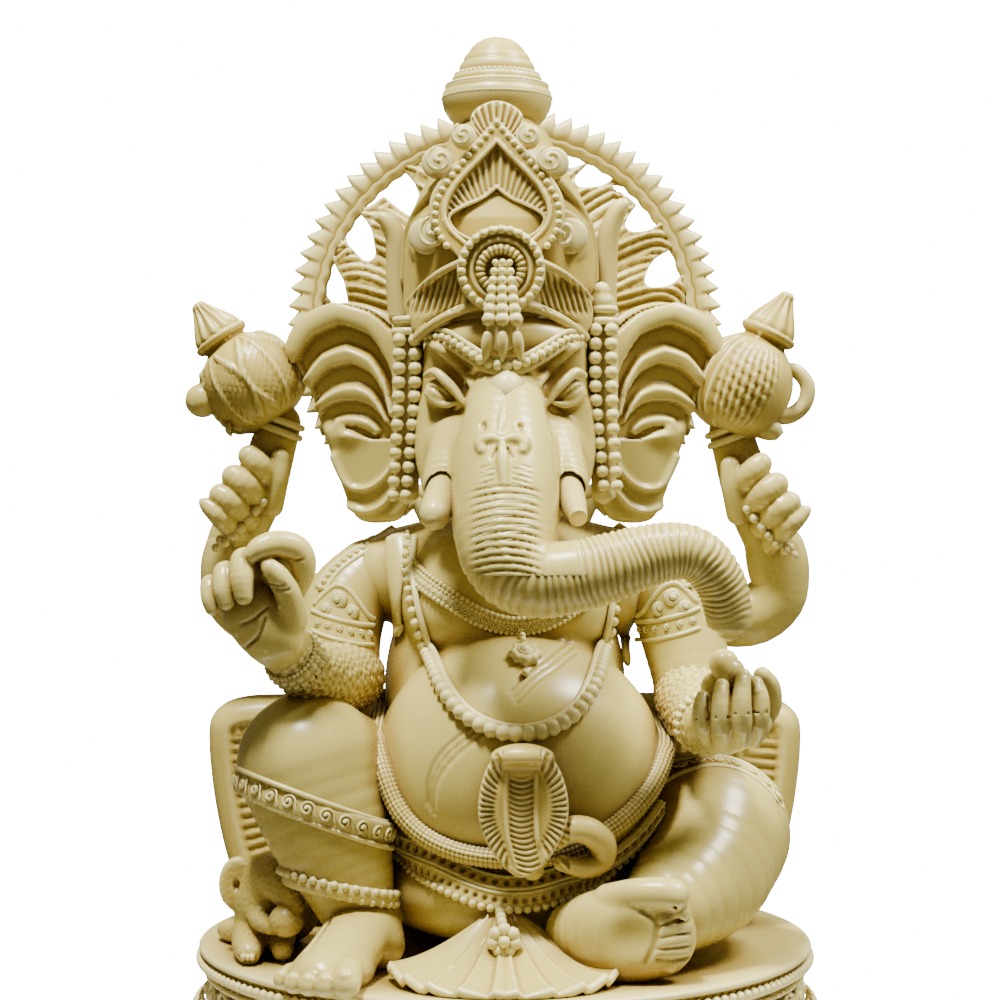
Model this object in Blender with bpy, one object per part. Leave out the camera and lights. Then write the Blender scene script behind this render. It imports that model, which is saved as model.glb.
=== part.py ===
"""Seated elephant-headed idol on a round pedestal, as an assembly of separate castings.

Every casting is its own object. Where two castings meet, the inner one carries a socket
that is cut to the shape of the outer one with an adhesive gap all round, so limbs, ornaments
and attributes plug into the body and stack on the pedestal.

Frame: origin at the centre of the underside, +Z up, the figure faces -Y.
"right_" and "left_" are the figure's own sides, so the figure's right is towards -X.
Lengths below are in millimetres until they pass through MM.
"""

import math

import bmesh
import bpy
from mathutils import Matrix, Vector

MM = 0.001

# Driving dimensions
PEDESTAL_TOP = 38.0
PEDESTAL_RADIUS = 91.0
PLINTH_RADIUS = 97.0
FELT_THICKNESS = 0.9
FELT_RADIUS = 88.0
CROWN_TIP = 305.0
HALO_CENTRE = (0.0, 26.0, 222.7)
HALO_TIP_RADIUS = 67.9
HALO_ROOT_RADIUS = 65.0
HALO_INNER_RADIUS = 56.5
HALO_TEETH = 75
HALO_THICKNESS = 7.0
ADHESIVE_GAP = 0.38
SLIVER = 1e-6

# A limb's rounded end: the last ring's share of the radius, and how far its pole stands out
END_TAPER = 0.7
POLE_REACH = 0.42

# How far a cord's centre stands off the body it lies on, as a share of its radius
CORD_PROUD = 0.7

# Ellipsoids that the torso is built from: centre and radii
BELLY = ((4.0, -26.0, 92.0), (41.5, 36.0, 37.5))
CHEST = ((1.0, -7.0, 139.0), (34.0, 27.0, 24.0))
BACK = ((0.0, -1.0, 112.0), (36.0, 27.0, 45.0))
SEAT = ((0.0, -4.0, 62.0), (45.0, 28.0, 27.0))
NAPE = ((0.0, 12.0, 150.0), (25.0, 15.0, 19.0))

# Colours are linear RGB, with roughness and metallic value
FINISHES = {
    "polished_resin": ((0.78, 0.69, 0.45), 0.28, 0.0),
    "carved_resin": ((0.74, 0.64, 0.40), 0.42, 0.0),
    "pedestal_resin": ((0.76, 0.67, 0.46), 0.36, 0.0),
    "felt": ((0.10, 0.16, 0.10), 0.95, 0.0),
}


def clear_scene():
    """Remove whatever the scene holds."""
    for obj in list(bpy.data.objects):
        bpy.data.objects.remove(obj, do_unlink=True)


def material(finish):
    """The named finish as a Principled material, made once."""
    found = bpy.data.materials.get(finish)
    if found:
        return found
    colour, roughness, metallic = FINISHES[finish]
    made = bpy.data.materials.new(finish)
    made.use_nodes = True
    shader = made.node_tree.nodes["Principled BSDF"]
    shader.inputs["Base Color"].default_value = (*colour, 1.0)
    shader.inputs["Roughness"].default_value = roughness
    shader.inputs["Metallic"].default_value = metallic
    return made


def lump_from(shape):
    """An object that holds the bmesh in millimetres turned to metres, with its faces pointing out."""
    bmesh.ops.recalc_face_normals(shape, faces=shape.faces)
    bmesh.ops.scale(shape, vec=Vector((MM, MM, MM)), verts=shape.verts)
    mesh = bpy.data.meshes.new("lump")
    shape.to_mesh(mesh)
    shape.free()
    made = bpy.data.objects.new("lump", mesh)
    bpy.context.scene.collection.objects.link(made)
    return made


def ball(centre, radii, fine=3):
    """An ellipsoid; fine sets its facets."""
    shape = bmesh.new()
    bmesh.ops.create_icosphere(shape, subdivisions=fine, radius=1.0)
    place = Matrix.Translation(centre) @ Matrix.Diagonal((*radii, 1.0))
    bmesh.ops.transform(shape, matrix=place, verts=shape.verts)
    return lump_from(shape)


def curve_through(stations, steps):
    """Catmull-Rom points through (x, y, z, radius) stations, steps to each span."""
    points = [Vector(s) for s in stations]
    count = len(points)
    path = []
    for i in range(count - 1):
        a, b, c, d = (points[min(max(i + k, 0), count - 1)] for k in (-1, 0, 1, 2))
        for step in range(steps):
            t = step / steps
            bend = (2 * a - 5 * b + 4 * c - d) * t**2 + (3 * b - a - 3 * c + d) * t**3
            path.append(0.5 * (2 * b + (c - a) * t + bend))
    return [*path, points[-1]]


def rings_along(shape, path, sides, flat, upright):
    """Rings of vertices round a path; upright is the direction that flat squeezes."""
    rings = []
    for i, station in enumerate(path):
        before, after = path[max(i - 1, 0)], path[min(i + 1, len(path) - 1)]
        along = (after.xyz - before.xyz).normalized()
        across = along.cross(upright).normalized()
        thin = across.cross(along).normalized()
        ring = []
        for side in range(sides):
            turn = 2 * math.pi * side / sides
            offset = across * math.cos(turn) + thin * math.sin(turn) * flat
            ring.append(shape.verts.new(station.xyz + offset * station.w))
        rings.append(ring)
    return rings


def bridge(shape, first, second):
    """Quads between two rings with the same number of vertices."""
    count = len(first)
    for i in range(count):
        j = (i + 1) % count
        shape.faces.new((first[i], first[j], second[j], second[i]))


def tube(stations, sides=10, steps=2, flat=1.0, upright=(0.0, 0.0, 1.0)):
    """A limb or cord swept through (x, y, z, radius) stations, with rounded ends."""
    shape = bmesh.new()
    path = curve_through(stations, steps)
    start = (path[0].xyz - path[1].xyz).normalized()
    end = (path[-1].xyz - path[-2].xyz).normalized()
    head = Vector((*(path[0].xyz + start * path[0].w * END_TAPER), path[0].w * END_TAPER))
    tail = Vector((*(path[-1].xyz + end * path[-1].w * END_TAPER), path[-1].w * END_TAPER))
    path = [head, *path, tail]
    rings = rings_along(shape, path, sides, flat, Vector(upright))
    for first, second in zip(rings, rings[1:]):
        bridge(shape, first, second)
    for ring, station, out in ((rings[0], path[0], start), (rings[-1], path[-1], end)):
        pole = shape.verts.new(station.xyz + out * station.w * POLE_REACH)
        for i, vert in enumerate(ring):
            shape.faces.new((vert, ring[(i + 1) % sides], pole))
    return lump_from(shape)


def turned(profile, foot, axis=(0.0, 0.0, 1.0), segments=24, squeeze=1.0):
    """A lathe shape: (radius, distance along axis) pairs from one pole to the other."""
    shape = bmesh.new()
    turn = Vector((0, 0, 1)).rotation_difference(Vector(axis)).to_matrix().to_4x4()
    place = Matrix.Translation(foot) @ turn
    rings, poles = [], []
    for radius, along in profile:
        if radius == 0.0:
            poles.append(shape.verts.new(place @ Vector((0, 0, along))))
            continue
        ring = []
        for i in range(segments):
            angle = 2 * math.pi * i / segments
            spot = Vector((radius * math.cos(angle), radius * math.sin(angle) * squeeze, along))
            ring.append(shape.verts.new(place @ spot))
        rings.append(ring)
    for first, second in zip(rings, rings[1:]):
        bridge(shape, first, second)
    for pole, ring in ((poles[0], rings[0]), (poles[1], rings[-1])):
        for i, vert in enumerate(ring):
            shape.faces.new((vert, ring[(i + 1) % segments], pole))
    return lump_from(shape)


def slab(outline, front, back, lean=0.0, sweep=0.0, middle=0.0):
    """A plate that faces the viewer: an X, Z outline between two Y depths.

    lean moves it back per millimetre of height, and sweep per millimetre away from the middle.
    """
    shape = bmesh.new()
    low = min(z for _, z in outline)
    faces = []
    for depth in (front, back):
        ring = []
        for x, z in outline:
            ring.append(shape.verts.new((x, depth + lean * (z - low) + sweep * abs(x - middle), z)))
        faces.append(ring)
    bridge(shape, *faces)
    for ring in faces:
        shape.faces.new(ring)
    return lump_from(shape)


def block(corners):
    """The convex block round the given corner points."""
    shape = bmesh.new()
    for corner in corners:
        shape.verts.new(corner)
    made = bmesh.ops.convex_hull(shape, input=shape.verts)
    spare = {e for e in made["geom_interior"] if isinstance(e, bmesh.types.BMVert)}
    bmesh.ops.delete(shape, geom=list(spare), context="VERTS")
    return lump_from(shape)


def bake(obj):
    """Replace the object's mesh with its evaluated one and drop its modifiers."""
    graph = bpy.context.evaluated_depsgraph_get()
    mesh = bpy.data.meshes.new_from_object(obj.evaluated_get(graph))
    obj.modifiers.clear()
    spare = obj.data
    obj.data = mesh
    bpy.data.meshes.remove(spare)


def boolean(obj, other, operation):
    """Apply one exact Boolean of other to obj."""
    step = obj.modifiers.new(operation.lower(), "BOOLEAN")
    step.operation = operation
    step.solver = "EXACT"
    step.object = other
    bake(obj)


def discard(obj):
    """Remove a helper and its mesh."""
    mesh = obj.data
    bpy.data.objects.remove(obj, do_unlink=True)
    bpy.data.meshes.remove(mesh)


def casting(name, finish, *lumps):
    """One named casting: its lumps joined into one solid."""
    body = lumps[0]
    for lump in lumps[1:]:
        boolean(body, lump, "UNION")
        discard(lump)
    body.name = name
    body.data.name = name
    body.data.materials.clear()
    body.data.materials.append(material(finish))
    return body


def modelled(name, finish, facets, *lumps, grain=0.9):
    """One named casting whose lumps flow into each other, thinned to about this many triangles."""
    shape = bmesh.new()
    for lump in lumps:
        shape.from_mesh(lump.data)
        discard(lump)
    mesh = bpy.data.meshes.new(name)
    shape.to_mesh(mesh)
    shape.free()
    body = bpy.data.objects.new(name, mesh)
    bpy.context.scene.collection.objects.link(body)
    skin = body.modifiers.new("skin", "REMESH")
    skin.mode = "VOXEL"
    skin.voxel_size = grain * MM
    ease = body.modifiers.new("ease", "SMOOTH")
    ease.iterations = 3
    bake(body)
    body.data.name = name
    whole = sum(len(face.vertices) - 2 for face in body.data.polygons)
    thin = body.modifiers.new("thin", "DECIMATE")
    thin.ratio = facets / whole
    bake(body)
    body.data.materials.clear()
    body.data.materials.append(material(finish))
    return body


def corners_of(obj):
    """Lowest and highest corner of an object."""
    spots = [v.co for v in obj.data.vertices]
    low = Vector(min(s[k] for s in spots) for k in range(3))
    high = Vector(max(s[k] for s in spots) for k in range(3))
    return low, high


def near(one, two):
    """Whether two objects' boxes come within the adhesive gap."""
    (low_a, high_a), (low_b, high_b) = corners_of(one), corners_of(two)
    room = ADHESIVE_GAP * MM
    return all(low_a[k] - room < high_b[k] and low_b[k] - room < high_a[k] for k in range(3))


def swollen(obj):
    """A copy of the object, grown by the adhesive gap on every side."""
    shape = bmesh.new()
    shape.from_mesh(obj.data)
    bmesh.ops.remove_doubles(shape, verts=shape.verts, dist=SLIVER)
    shape.normal_update()
    grown = [v.co + v.normal * min(v.calc_shell_factor(), 1.6) * ADHESIVE_GAP * MM for v in shape.verts]
    for vert, spot in zip(shape.verts, grown):
        vert.co = spot
    mesh = bpy.data.meshes.new("cutter")
    shape.to_mesh(mesh)
    shape.free()
    made = bpy.data.objects.new("cutter", mesh)
    made.hide_render = True
    made.display_type = "WIRE"
    bpy.context.scene.collection.objects.link(made)
    return made


def island_volume(island):
    """Volume enclosed by the faces on these vertices."""
    total = 0.0
    for face in {face for vert in island for face in vert.link_faces}:
        first, *others = (vert.co for vert in face.verts)
        for second, third in zip(others, others[1:]):
            total += first.dot(second.cross(third)) / 6.0
    return total


def keep_main_body(obj):
    """Drop the chips that a socket cut free, and weld what the cut left split."""
    shape = bmesh.new()
    shape.from_mesh(obj.data)
    bmesh.ops.remove_doubles(shape, verts=shape.verts, dist=SLIVER)
    waiting, islands = set(shape.verts), []
    while waiting:
        island, edge = set(), [waiting.pop()]
        while edge:
            vert = edge.pop()
            island.add(vert)
            for link in vert.link_edges:
                other = link.other_vert(vert)
                if other in waiting:
                    waiting.discard(other)
                    edge.append(other)
        islands.append(island)
    islands.sort(key=island_volume)
    for chip in islands[:-1]:
        bmesh.ops.delete(shape, geom=list(chip), context="VERTS")
    shape.to_mesh(obj.data)
    shape.free()


def seat_all(castings):
    """Cut each casting clear of every later one in the list that reaches into it."""
    for index, host in enumerate(castings):
        for guest in castings[index + 1 :]:
            if near(host, guest):
                cutter = swollen(guest)
                boolean(host, cutter, "DIFFERENCE")
                discard(cutter)
        keep_main_body(host)


def front_of_body(x, z):
    """How far forward the torso reaches at this X and Z, as a Y value."""
    reach = []
    for centre, radii in (BELLY, CHEST, BACK, SEAT):
        inside = 1 - ((x - centre[0]) / radii[0]) ** 2 - ((z - centre[2]) / radii[2]) ** 2
        if inside > 0:
            reach.append(centre[1] - radii[1] * math.sqrt(inside))
    return min(reach, default=0.0)


def laid_on_body(spots, radius):
    """Stations for a cord that lies on the torso's front at the given X, Z spots."""
    return [(x, front_of_body(x, z) - CORD_PROUD * radius, z, radius) for x, z in spots]


def mirrored(stations):
    """The same stations on the other side of the figure."""
    return [(-x, *rest) for x, *rest in stations]


def make_base():
    """The turned pedestal and the felt sheet under it."""
    pedestal = casting(
        "pedestal",
        "pedestal_resin",
        turned(
            [
                (0.0, PEDESTAL_TOP),
                (PEDESTAL_RADIUS - 1.5, PEDESTAL_TOP),
                (PEDESTAL_RADIUS, PEDESTAL_TOP - 1.5),
                (PEDESTAL_RADIUS, PEDESTAL_TOP - 4.5),
                (PEDESTAL_RADIUS - 4.0, PEDESTAL_TOP - 7.0),
                (PEDESTAL_RADIUS - 4.5, 17.0),
                (PLINTH_RADIUS - 4.0, 13.0),
                (PLINTH_RADIUS, 6.0),
                (PLINTH_RADIUS, 1.2),
                (0.0, 1.2),
            ],
            (0, 0, 0),
            segments=40,
        ),
    )
    felt_outline = [(0.0, FELT_THICKNESS), (FELT_RADIUS, FELT_THICKNESS), (FELT_RADIUS, 0.0), (0.0, 0.0)]
    felt = casting("base_felt", "felt", turned(felt_outline, (0, 0, 0), segments=32))
    return [pedestal, felt]


def make_body():
    """The torso casting, with belly, chest, shoulders and seat."""
    return modelled(
        "torso",
        "polished_resin",
        760,
        *[ball(centre, radii) for centre, radii in (BELLY, CHEST, BACK, SEAT, NAPE)],
        tube([(-44, 2, 144, 12.5), (0, 2, 148, 16), (44, 2, 144, 12.5)], sides=12),
        grain=1.6,
    )


def make_head():
    """Head, trunk, ears and tusks."""
    head = modelled(
        "head",
        "polished_resin",
        600,
        ball((0, -13, 200), (25, 24, 24)),
        ball((0, -20, 186), (23.5, 23, 26)),
        ball((0, -18, 165), (16, 17, 13), fine=2),
        tube([(-13, -34, 186, 8), (-16.5, -44, 174, 6.4)], sides=8),
        tube([(13, -34, 186, 8), (16.5, -44, 174, 6.4)], sides=8),
    )
    trunk = casting(
        "trunk",
        "polished_resin",
        tube(
            [
                (0, -36, 200, 8.0),
                (0, -43, 190, 13.0),
                (0, -51, 180, 14.5),
                (0, -57, 170, 14.8),
                (0, -62, 160, 14.2),
                (2, -66, 151, 12.8),
                (9, -69, 146.6, 10.6),
                (19, -70, 147.5, 9.6),
                (30, -70, 150.5, 9.1),
                (42, -69, 154.5, 7.9),
                (51.5, -68, 154.5, 7.2),
                (58, -66, 147.0, 7.2),
                (61, -64, 137.0, 7.0),
                (61.5, -62, 129.5, 6.2),
            ],
            sides=12,
            upright=(0.25, -1.0, 0.1),
        ),
    )
    right_ear_outline = [
        (-25, 214),
        (-35, 222),
        (-47, 226.5),
        (-58, 223),
        (-64.5, 214),
        (-63, 204),
        (-57, 196),
        (-52, 186),
        (-47, 172),
        (-43.5, 164),
        (-39, 161),
        (-31, 162.5),
        (-26, 170),
        (-23, 190),
    ]
    right_ear = casting(
        "right_ear", "polished_resin", slab(right_ear_outline, -16.0, -8.0, sweep=0.3, middle=-20.0)
    )
    left_ear = casting(
        "left_ear", "polished_resin", slab(mirrored(right_ear_outline), -16.0, -8.0, sweep=0.3, middle=20.0)
    )
    whole_tusk = tube([(-15.5, -42, 176, 4.0), (-18, -55, 167.5, 4.3), (-20, -65, 162.5, 3.9)], sides=10)
    broken_tusk = tube([(15.5, -42, 176, 4.4), (18, -54, 167.5, 4.1), (19.6, -62, 163.5, 2.8)], sides=10)
    return [
        head,
        right_ear,
        left_ear,
        casting("right_tusk", "polished_resin", whole_tusk),
        casting("left_tusk", "polished_resin", broken_tusk),
        trunk,
    ]


def make_crown():
    """The crown, its plaques, finial and hanging ornaments."""
    crown = casting(
        "crown_body",
        "carved_resin",
        turned(
            [
                (0.0, 280.0),
                (12.0, 279.0),
                (17.5, 267.0),
                (25.5, 255.0),
                (28.5, 243.0),
                (28.5, 226.0),
                (26.5, 216.5),
                (20.0, 214.0),
                (0.0, 214.0),
            ],
            (-1.6, -12, 0),
            segments=20,
            squeeze=0.96,
        ),
    )
    spade = [
        (-2.2, 277),
        (-9, 266),
        (-17, 258),
        (-23.5, 251),
        (-22.5, 243),
        (-16, 236),
        (-13, 226),
        (10, 226),
        (13, 236),
        (19, 243),
        (20, 251),
        (13.5, 258),
        (5, 266),
    ]
    plaque = casting("crown_plaque", "carved_resin", slab(spade, -43.0, -37.0, lean=0.16))
    medallion = casting(
        "crown_medallion",
        "carved_resin",
        turned(
            [(0.0, 0.0), (11.0, 0.0), (12.6, 2.0), (12.0, 4.5), (0.0, 4.5)],
            (-1.4, -41.0, 231.5),
            axis=(0, -1, 0.05),
        ),
    )
    tassel = casting(
        "crown_tassel",
        "carved_resin",
        tube([(-1.4, -46.5, 234, 3.2), (-1.2, -49, 224, 4.6), (-0.8, -51.5, 215, 5.6), (-0.6, -51, 209, 3.6)],
             upright=(1, 0, 0)),
    )
    finial = casting(
        "crown_finial",
        "carved_resin",
        turned(
            [
                (0.0, CROWN_TIP),
                (5.5, CROWN_TIP - 1.2),
                (9.5, CROWN_TIP - 5.0),
                (11.3, CROWN_TIP - 9.5),
                (10.6, CROWN_TIP - 11.5),
                (15.6, CROWN_TIP - 16.0),
                (16.5, CROWN_TIP - 19.0),
                (14.0, CROWN_TIP - 24.5),
                (10.0, CROWN_TIP - 27.5),
                (0.0, CROWN_TIP - 27.5),
            ],
            (-2.4, -8, 0),
            segments=20,
        ),
    )
    right_crest = casting(
        "right_crown_crest",
        "carved_resin",
        tube([(-31, -8, 222, 4.6), (-32, -9, 236, 4.4), (-32.5, -9, 248, 3.6), (-35, -9, 255, 2.0)], sides=8),
    )
    left_crest = casting(
        "left_crown_crest",
        "carved_resin",
        tube([(29, -8, 224, 4.6), (30, -9, 238, 4.4), (31, -9, 250, 3.6), (34, -9, 258, 2.0)], sides=8),
    )
    right_drop = casting(
        "right_side_pendant",
        "carved_resin",
        tube([(-28, -22, 219, 5.4), (-28.4, -24, 197, 5.2), (-28, -26, 172, 4.4)], sides=8),
    )
    left_drop = casting(
        "left_side_pendant",
        "carved_resin",
        tube([(27.5, -22, 226, 4.4), (28.2, -24, 200, 5.2), (28.6, -26, 174, 4.4)], sides=8),
    )
    band = casting(
        "forehead_band",
        "carved_resin",
        tube(
            [(-23, -31, 213, 2.4), (-13, -41.5, 207.5, 2.6), (-1, -44.5, 203.5, 2.8), (12, -41.5, 207.5, 2.6),
             (23, -31, 213, 2.4)],
            sides=8,
        ),
    )
    jewel_outline = [(-0.4, 203.5), (-4.2, 198.5), (-0.4, 190.5), (3.4, 198.5)]
    jewel = casting("forehead_jewel", "carved_resin", slab(jewel_outline, -62.5, -53.0, lean=0.8))
    sides = [right_crest, left_crest, right_drop, left_drop]
    return [crown, *sides, finial, plaque, medallion, band, tassel, jewel]


def halo_outline():
    """Toothed outer outline and plain inner outline of the halo ring, as X, Z points."""
    outer, inner = [], []
    for i in range(2 * HALO_TEETH):
        angle = math.pi * i / HALO_TEETH
        radius = HALO_ROOT_RADIUS if i % 2 else HALO_TIP_RADIUS
        outer.append((radius * math.sin(angle), radius * math.cos(angle)))
        if i % 4 == 0:
            inner.append((HALO_INNER_RADIUS * math.sin(angle), HALO_INNER_RADIUS * math.cos(angle)))
    return outer, inner


def make_halo():
    """The toothed halo ring and the flames that join it to the head."""
    outer, inner = halo_outline()
    x, y, z = HALO_CENTRE
    front, back = y - HALO_THICKNESS / 2, y + HALO_THICKNESS / 2
    ring = slab([(x + a, z + b) for a, b in outer], front, back)
    hole = slab([(x + a, z + b) for a, b in inner], front - 1.0, back + 1.0)
    boolean(ring, hole, "DIFFERENCE")
    discard(hole)
    tongues = [
        [(10, 22, 240, 7.0), (24, 24, 258, 6.5), (38, 26, 266, 3.6), (44, 26, 266, 2.6)],
        [(14, 22, 232, 7.5), (30, 24, 244, 7.5), (46, 26, 250, 4.2), (53, 26, 248, 2.8)],
        [(16, 22, 222, 7.5), (34, 24, 230, 7.8), (50, 26, 232, 4.6), (57, 26, 229, 3.0)],
        [(14, 22, 212, 7.5), (34, 24, 212, 8.0), (50, 26, 208, 4.6), (56, 26, 203, 3.0)],
    ]
    lumps = [ball((0, 22, 226), (24, 4.2, 30), fine=2)]
    for tongue in tongues:
        for stations in (tongue, mirrored(tongue)):
            lumps.append(tube(stations, sides=6, steps=1, flat=0.4, upright=(0, 1, 0)))
    flames = modelled("halo_flames", "carved_resin", 640, *lumps)
    return [flames, casting("halo_ring", "carved_resin", ring)]


def make_cushion():
    """The wide pleated cushion behind the figure's hips."""
    outline = [(-80, 42), (-86, 60), (-91, 92), (-90, 100), (-83, 106), (-66, 108)]
    outline += [(66, 108), (83, 106), (90, 100), (91, 92), (86, 60), (80, 42)]
    pad = slab(outline, 7.0, 29.0)
    edge = pad.modifiers.new("round", "BEVEL")
    edge.width = 6.0 * MM
    edge.segments = 2
    edge.limit_method = "ANGLE"
    edge.angle_limit = math.radians(60)
    bake(pad)
    return casting("back_cushion", "carved_resin", pad)


def make_legs():
    """Both legs, both feet, the knee band and the anklet."""
    right_leg = modelled(
        "right_leg",
        "polished_resin",
        420,
        tube([(-22, 6, 62, 19), (-40, -14, 80, 20), (-55, -38, 93, 19.5)], sides=12),
        tube(
            [(-55, -40, 92, 19.3), (-49, -42, 76, 16.3), (-43.5, -43, 62, 12.5), (-42, -43, 55, 10)],
            sides=12,
        ),
    )
    right_foot = modelled(
        "right_foot",
        "polished_resin",
        360,
        tube([(-40, -41, 52, 9.5), (-42, -55, 46.5, 9.5), (-47, -69, 42.5, 10), (-49, -75, 41, 9)], flat=0.7),
        *[ball(toe, (3.1, 4.6, 3.4), fine=2) for toe in right_toes()],
    )
    left_leg = modelled(
        "left_leg",
        "polished_resin",
        420,
        tube([(22, 6, 62, 19), (42, -6, 71, 21.5), (61, -16, 71.5, 22)], sides=12),
        tube([(61, -18, 70, 21.8), (56, -34, 62, 19), (46, -50, 56, 14), (38, -57, 52, 10.5)], sides=12),
    )
    left_foot = modelled(
        "left_foot",
        "polished_resin",
        360,
        tube([(24, -62, 47, 8), (34, -66, 50, 9.5), (43, -68, 52, 10)], sides=12),
        tube([(34, -66, 60, 4.4), (47, -69, 61.5, 3.5)], sides=8),
        *[ball(toe, (4.2, 4.0, 2.7), fine=2) for toe in left_toes()],
    )
    knee_band = casting(
        "right_knee_band",
        "carved_resin",
        hoop((-51.8, -40.5, 81.5), (19.2, 19.2), (0.32, 0.1, 0.94), 4.2, 0.5, sides=6, count=16),
    )
    anklet = casting(
        "right_anklet",
        "carved_resin",
        hoop((-42.2, -43, 58.5), (12.8, 12.8), (0.16, 0.1, 0.97), 2.6, 1.0, sides=6, count=14),
    )
    return [right_leg, left_leg, right_foot, left_foot, knee_band, anklet]


def right_toes():
    """Centres of the right foot's toes, little toe first."""
    return [(-57.0, -71.5, 41.2), (-53.8, -75.0, 41.3), (-50.2, -77.6, 41.4), (-46.4, -79.4, 41.5),
            (-42.0, -79.6, 41.8)]


def left_toes():
    """Centres of the left foot's four small toes, which stack at the end of the upturned sole."""
    return [(48.0, -69, 56.4), (48.0, -69, 51.9), (47.0, -69, 47.6), (45.0, -69, 43.8)]


def hoop(centre, radii, normal, thickness, thin, sides=8, count=20):
    """A closed ring round a limb; thin squeezes it across the limb."""
    turn = Vector((0, 0, 1)).rotation_difference(Vector(normal)).to_matrix()
    stations = []
    for i in range(count):
        angle = 2 * math.pi * i / count
        spot = Vector(centre) + turn @ Vector((radii[0] * math.cos(angle), radii[1] * math.sin(angle), 0))
        stations.append((*spot, thickness))
    shape = bmesh.new()
    rings = []
    for spot in stations:
        out = (Vector(spot[:3]) - Vector(centre)).normalized()
        up = Vector(normal).normalized()
        ring = []
        for side in range(sides):
            angle = 2 * math.pi * side / sides
            offset = up * math.cos(angle) + out * math.sin(angle) * thin
            ring.append(shape.verts.new(Vector(spot[:3]) + offset * thickness))
        rings.append(ring)
    for i, ring in enumerate(rings):
        bridge(shape, ring, rings[(i + 1) % count])
    return lump_from(shape)


def finger(*stations):
    """One finger or thumb."""
    return tube(stations, sides=7, steps=1)


def make_front_arms():
    """The two front arms with their hands, the held sweet and the bowl of sweets."""
    right_upper = casting(
        "right_upper_arm",
        "polished_resin",
        tube(
            [(-42.5, 3, 146, 12), (-48.2, -2, 136, 12.8), (-49, -8, 124, 11.8), (-47, -14, 117, 10.5)],
            sides=12,
        ),
    )
    right_forearm = casting(
        "right_forearm",
        "polished_resin",
        tube([(-46, -14, 116, 9.8), (-50, -29, 117, 9.4), (-56, -42, 121, 8), (-60, -49, 126, 6.8)]),
    )
    right_hand = modelled(
        "right_hand",
        "polished_resin",
        440,
        tube([(-61.5, -51, 128, 7.5), (-66, -55, 134, 9), (-68, -56, 139, 8.5)], flat=0.7, upright=(0, 1, 0)),
        finger((-60.5, -56, 132, 4.4), (-60.5, -61, 140, 3.5), (-63.6, -63, 148, 2.7)),
        finger(
            (-60, -54, 141, 4.4), (-56.5, -57, 150, 4.4), (-60.5, -61, 154.6, 3.9), (-67.6, -64, 154, 2.8)
        ),
        finger((-68, -55, 138, 4), (-70, -58, 146, 4), (-70.5, -62, 150, 3.7), (-69.6, -65.5, 142, 3)),
        finger(
            (-72, -54, 137, 3.6), (-75.5, -57, 143, 3.5), (-76, -60.5, 146.5, 3.3), (-75.2, -63.5, 139.5, 2.6)
        ),
        finger((-75, -53, 136, 3.2), (-79.3, -55, 141, 3), (-80, -58, 144, 2.8), (-79.2, -60.5, 138.8, 2.3)),
    )
    held_sweet = casting("held_sweet", "polished_resin", ball((-62.5, -58.5, 149), (5.6, 5.2, 5.2), fine=2))
    left_upper = casting(
        "left_upper_arm",
        "polished_resin",
        tube([(43, 3, 147, 12.5), (51, -1, 135, 13), (54.5, -5, 122, 11.8), (55, -9, 113, 10.5)], sides=12),
    )
    left_forearm = casting(
        "left_forearm",
        "polished_resin",
        tube([(54.5, -8, 112, 10), (54.5, -22, 107.5, 9.8), (55.5, -34, 105, 8.4), (58, -43, 104, 7)]),
    )
    left_hand = modelled(
        "left_hand",
        "polished_resin",
        440,
        ball((63.5, -51, 105), (10.5, 9.5, 6.4), fine=2),
        finger((54.5, -55, 103, 2.8), (53.8, -61, 108, 2.4), (53.6, -60.5, 114.5, 2.0)),
        finger((59, -56, 102, 3.2), (59, -63, 109, 2.8), (58.8, -62, 118, 2.3)),
        finger((65, -56, 102, 3.2), (65, -64, 110, 2.8), (64.8, -63, 120.5, 2.3)),
        finger((70, -54, 103, 3.2), (70.4, -60, 110, 2.8), (69.4, -59, 118.6, 2.3)),
        finger((70, -46, 106, 3.6), (74, -47, 112, 3.2), (73.4, -49, 119, 2.6)),
    )
    bowl = casting("sweet_bowl", "polished_resin", ball((61, -52.5, 117.5), (8.2, 7.4, 9.2), fine=3))
    return [
        right_upper, right_forearm, held_sweet, right_hand, left_upper, left_forearm, bowl, left_hand,
    ]


def make_rear_arms():
    """The two raised rear arms and hands, which mirror each other."""
    arm = [(-38, 8, 143, 10.5), (-58, 13, 134, 9.6), (-75, 13, 132, 9)]
    arm += [(-82.5, 12, 140, 8.4), (-82, 10, 151, 7.6)]
    palm = [(-81.5, 10, 154, 7), (-76.5, 9, 166, 7.4), (-71.5, 8, 178, 6.6), (-68, 7, 190, 5.4)]
    fingers = [
        [(-72, 5, 173, 3.6), (-76.5, 0, 179.5, 3.3)],
        [(-76, 5, 168.5, 3.8), (-81, -1, 174.2, 3.5)],
        [(-79, 5, 163.5, 3.6), (-85, -2, 169.4, 3.2)],
        [(-81, 5, 159, 3.2), (-87.2, -3, 164.6, 2.6)],
        [(-70, 3, 174, 3.2), (-71.8, -1, 181, 2.7)],
    ]
    nodes = []
    for side, flip in (("right", list), ("left", mirrored)):
        nodes.append(casting(f"rear_{side}_arm", "polished_resin", tube(flip(arm), steps=1)))
        grip = [tube(flip(palm), flat=0.75, upright=(0, 1, 0), steps=1)]
        grip += [tube(flip(stations), sides=7, steps=1) for stations in fingers]
        nodes.append(modelled(f"rear_{side}_hand", "polished_resin", 360, *grip))
    return nodes


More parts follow.
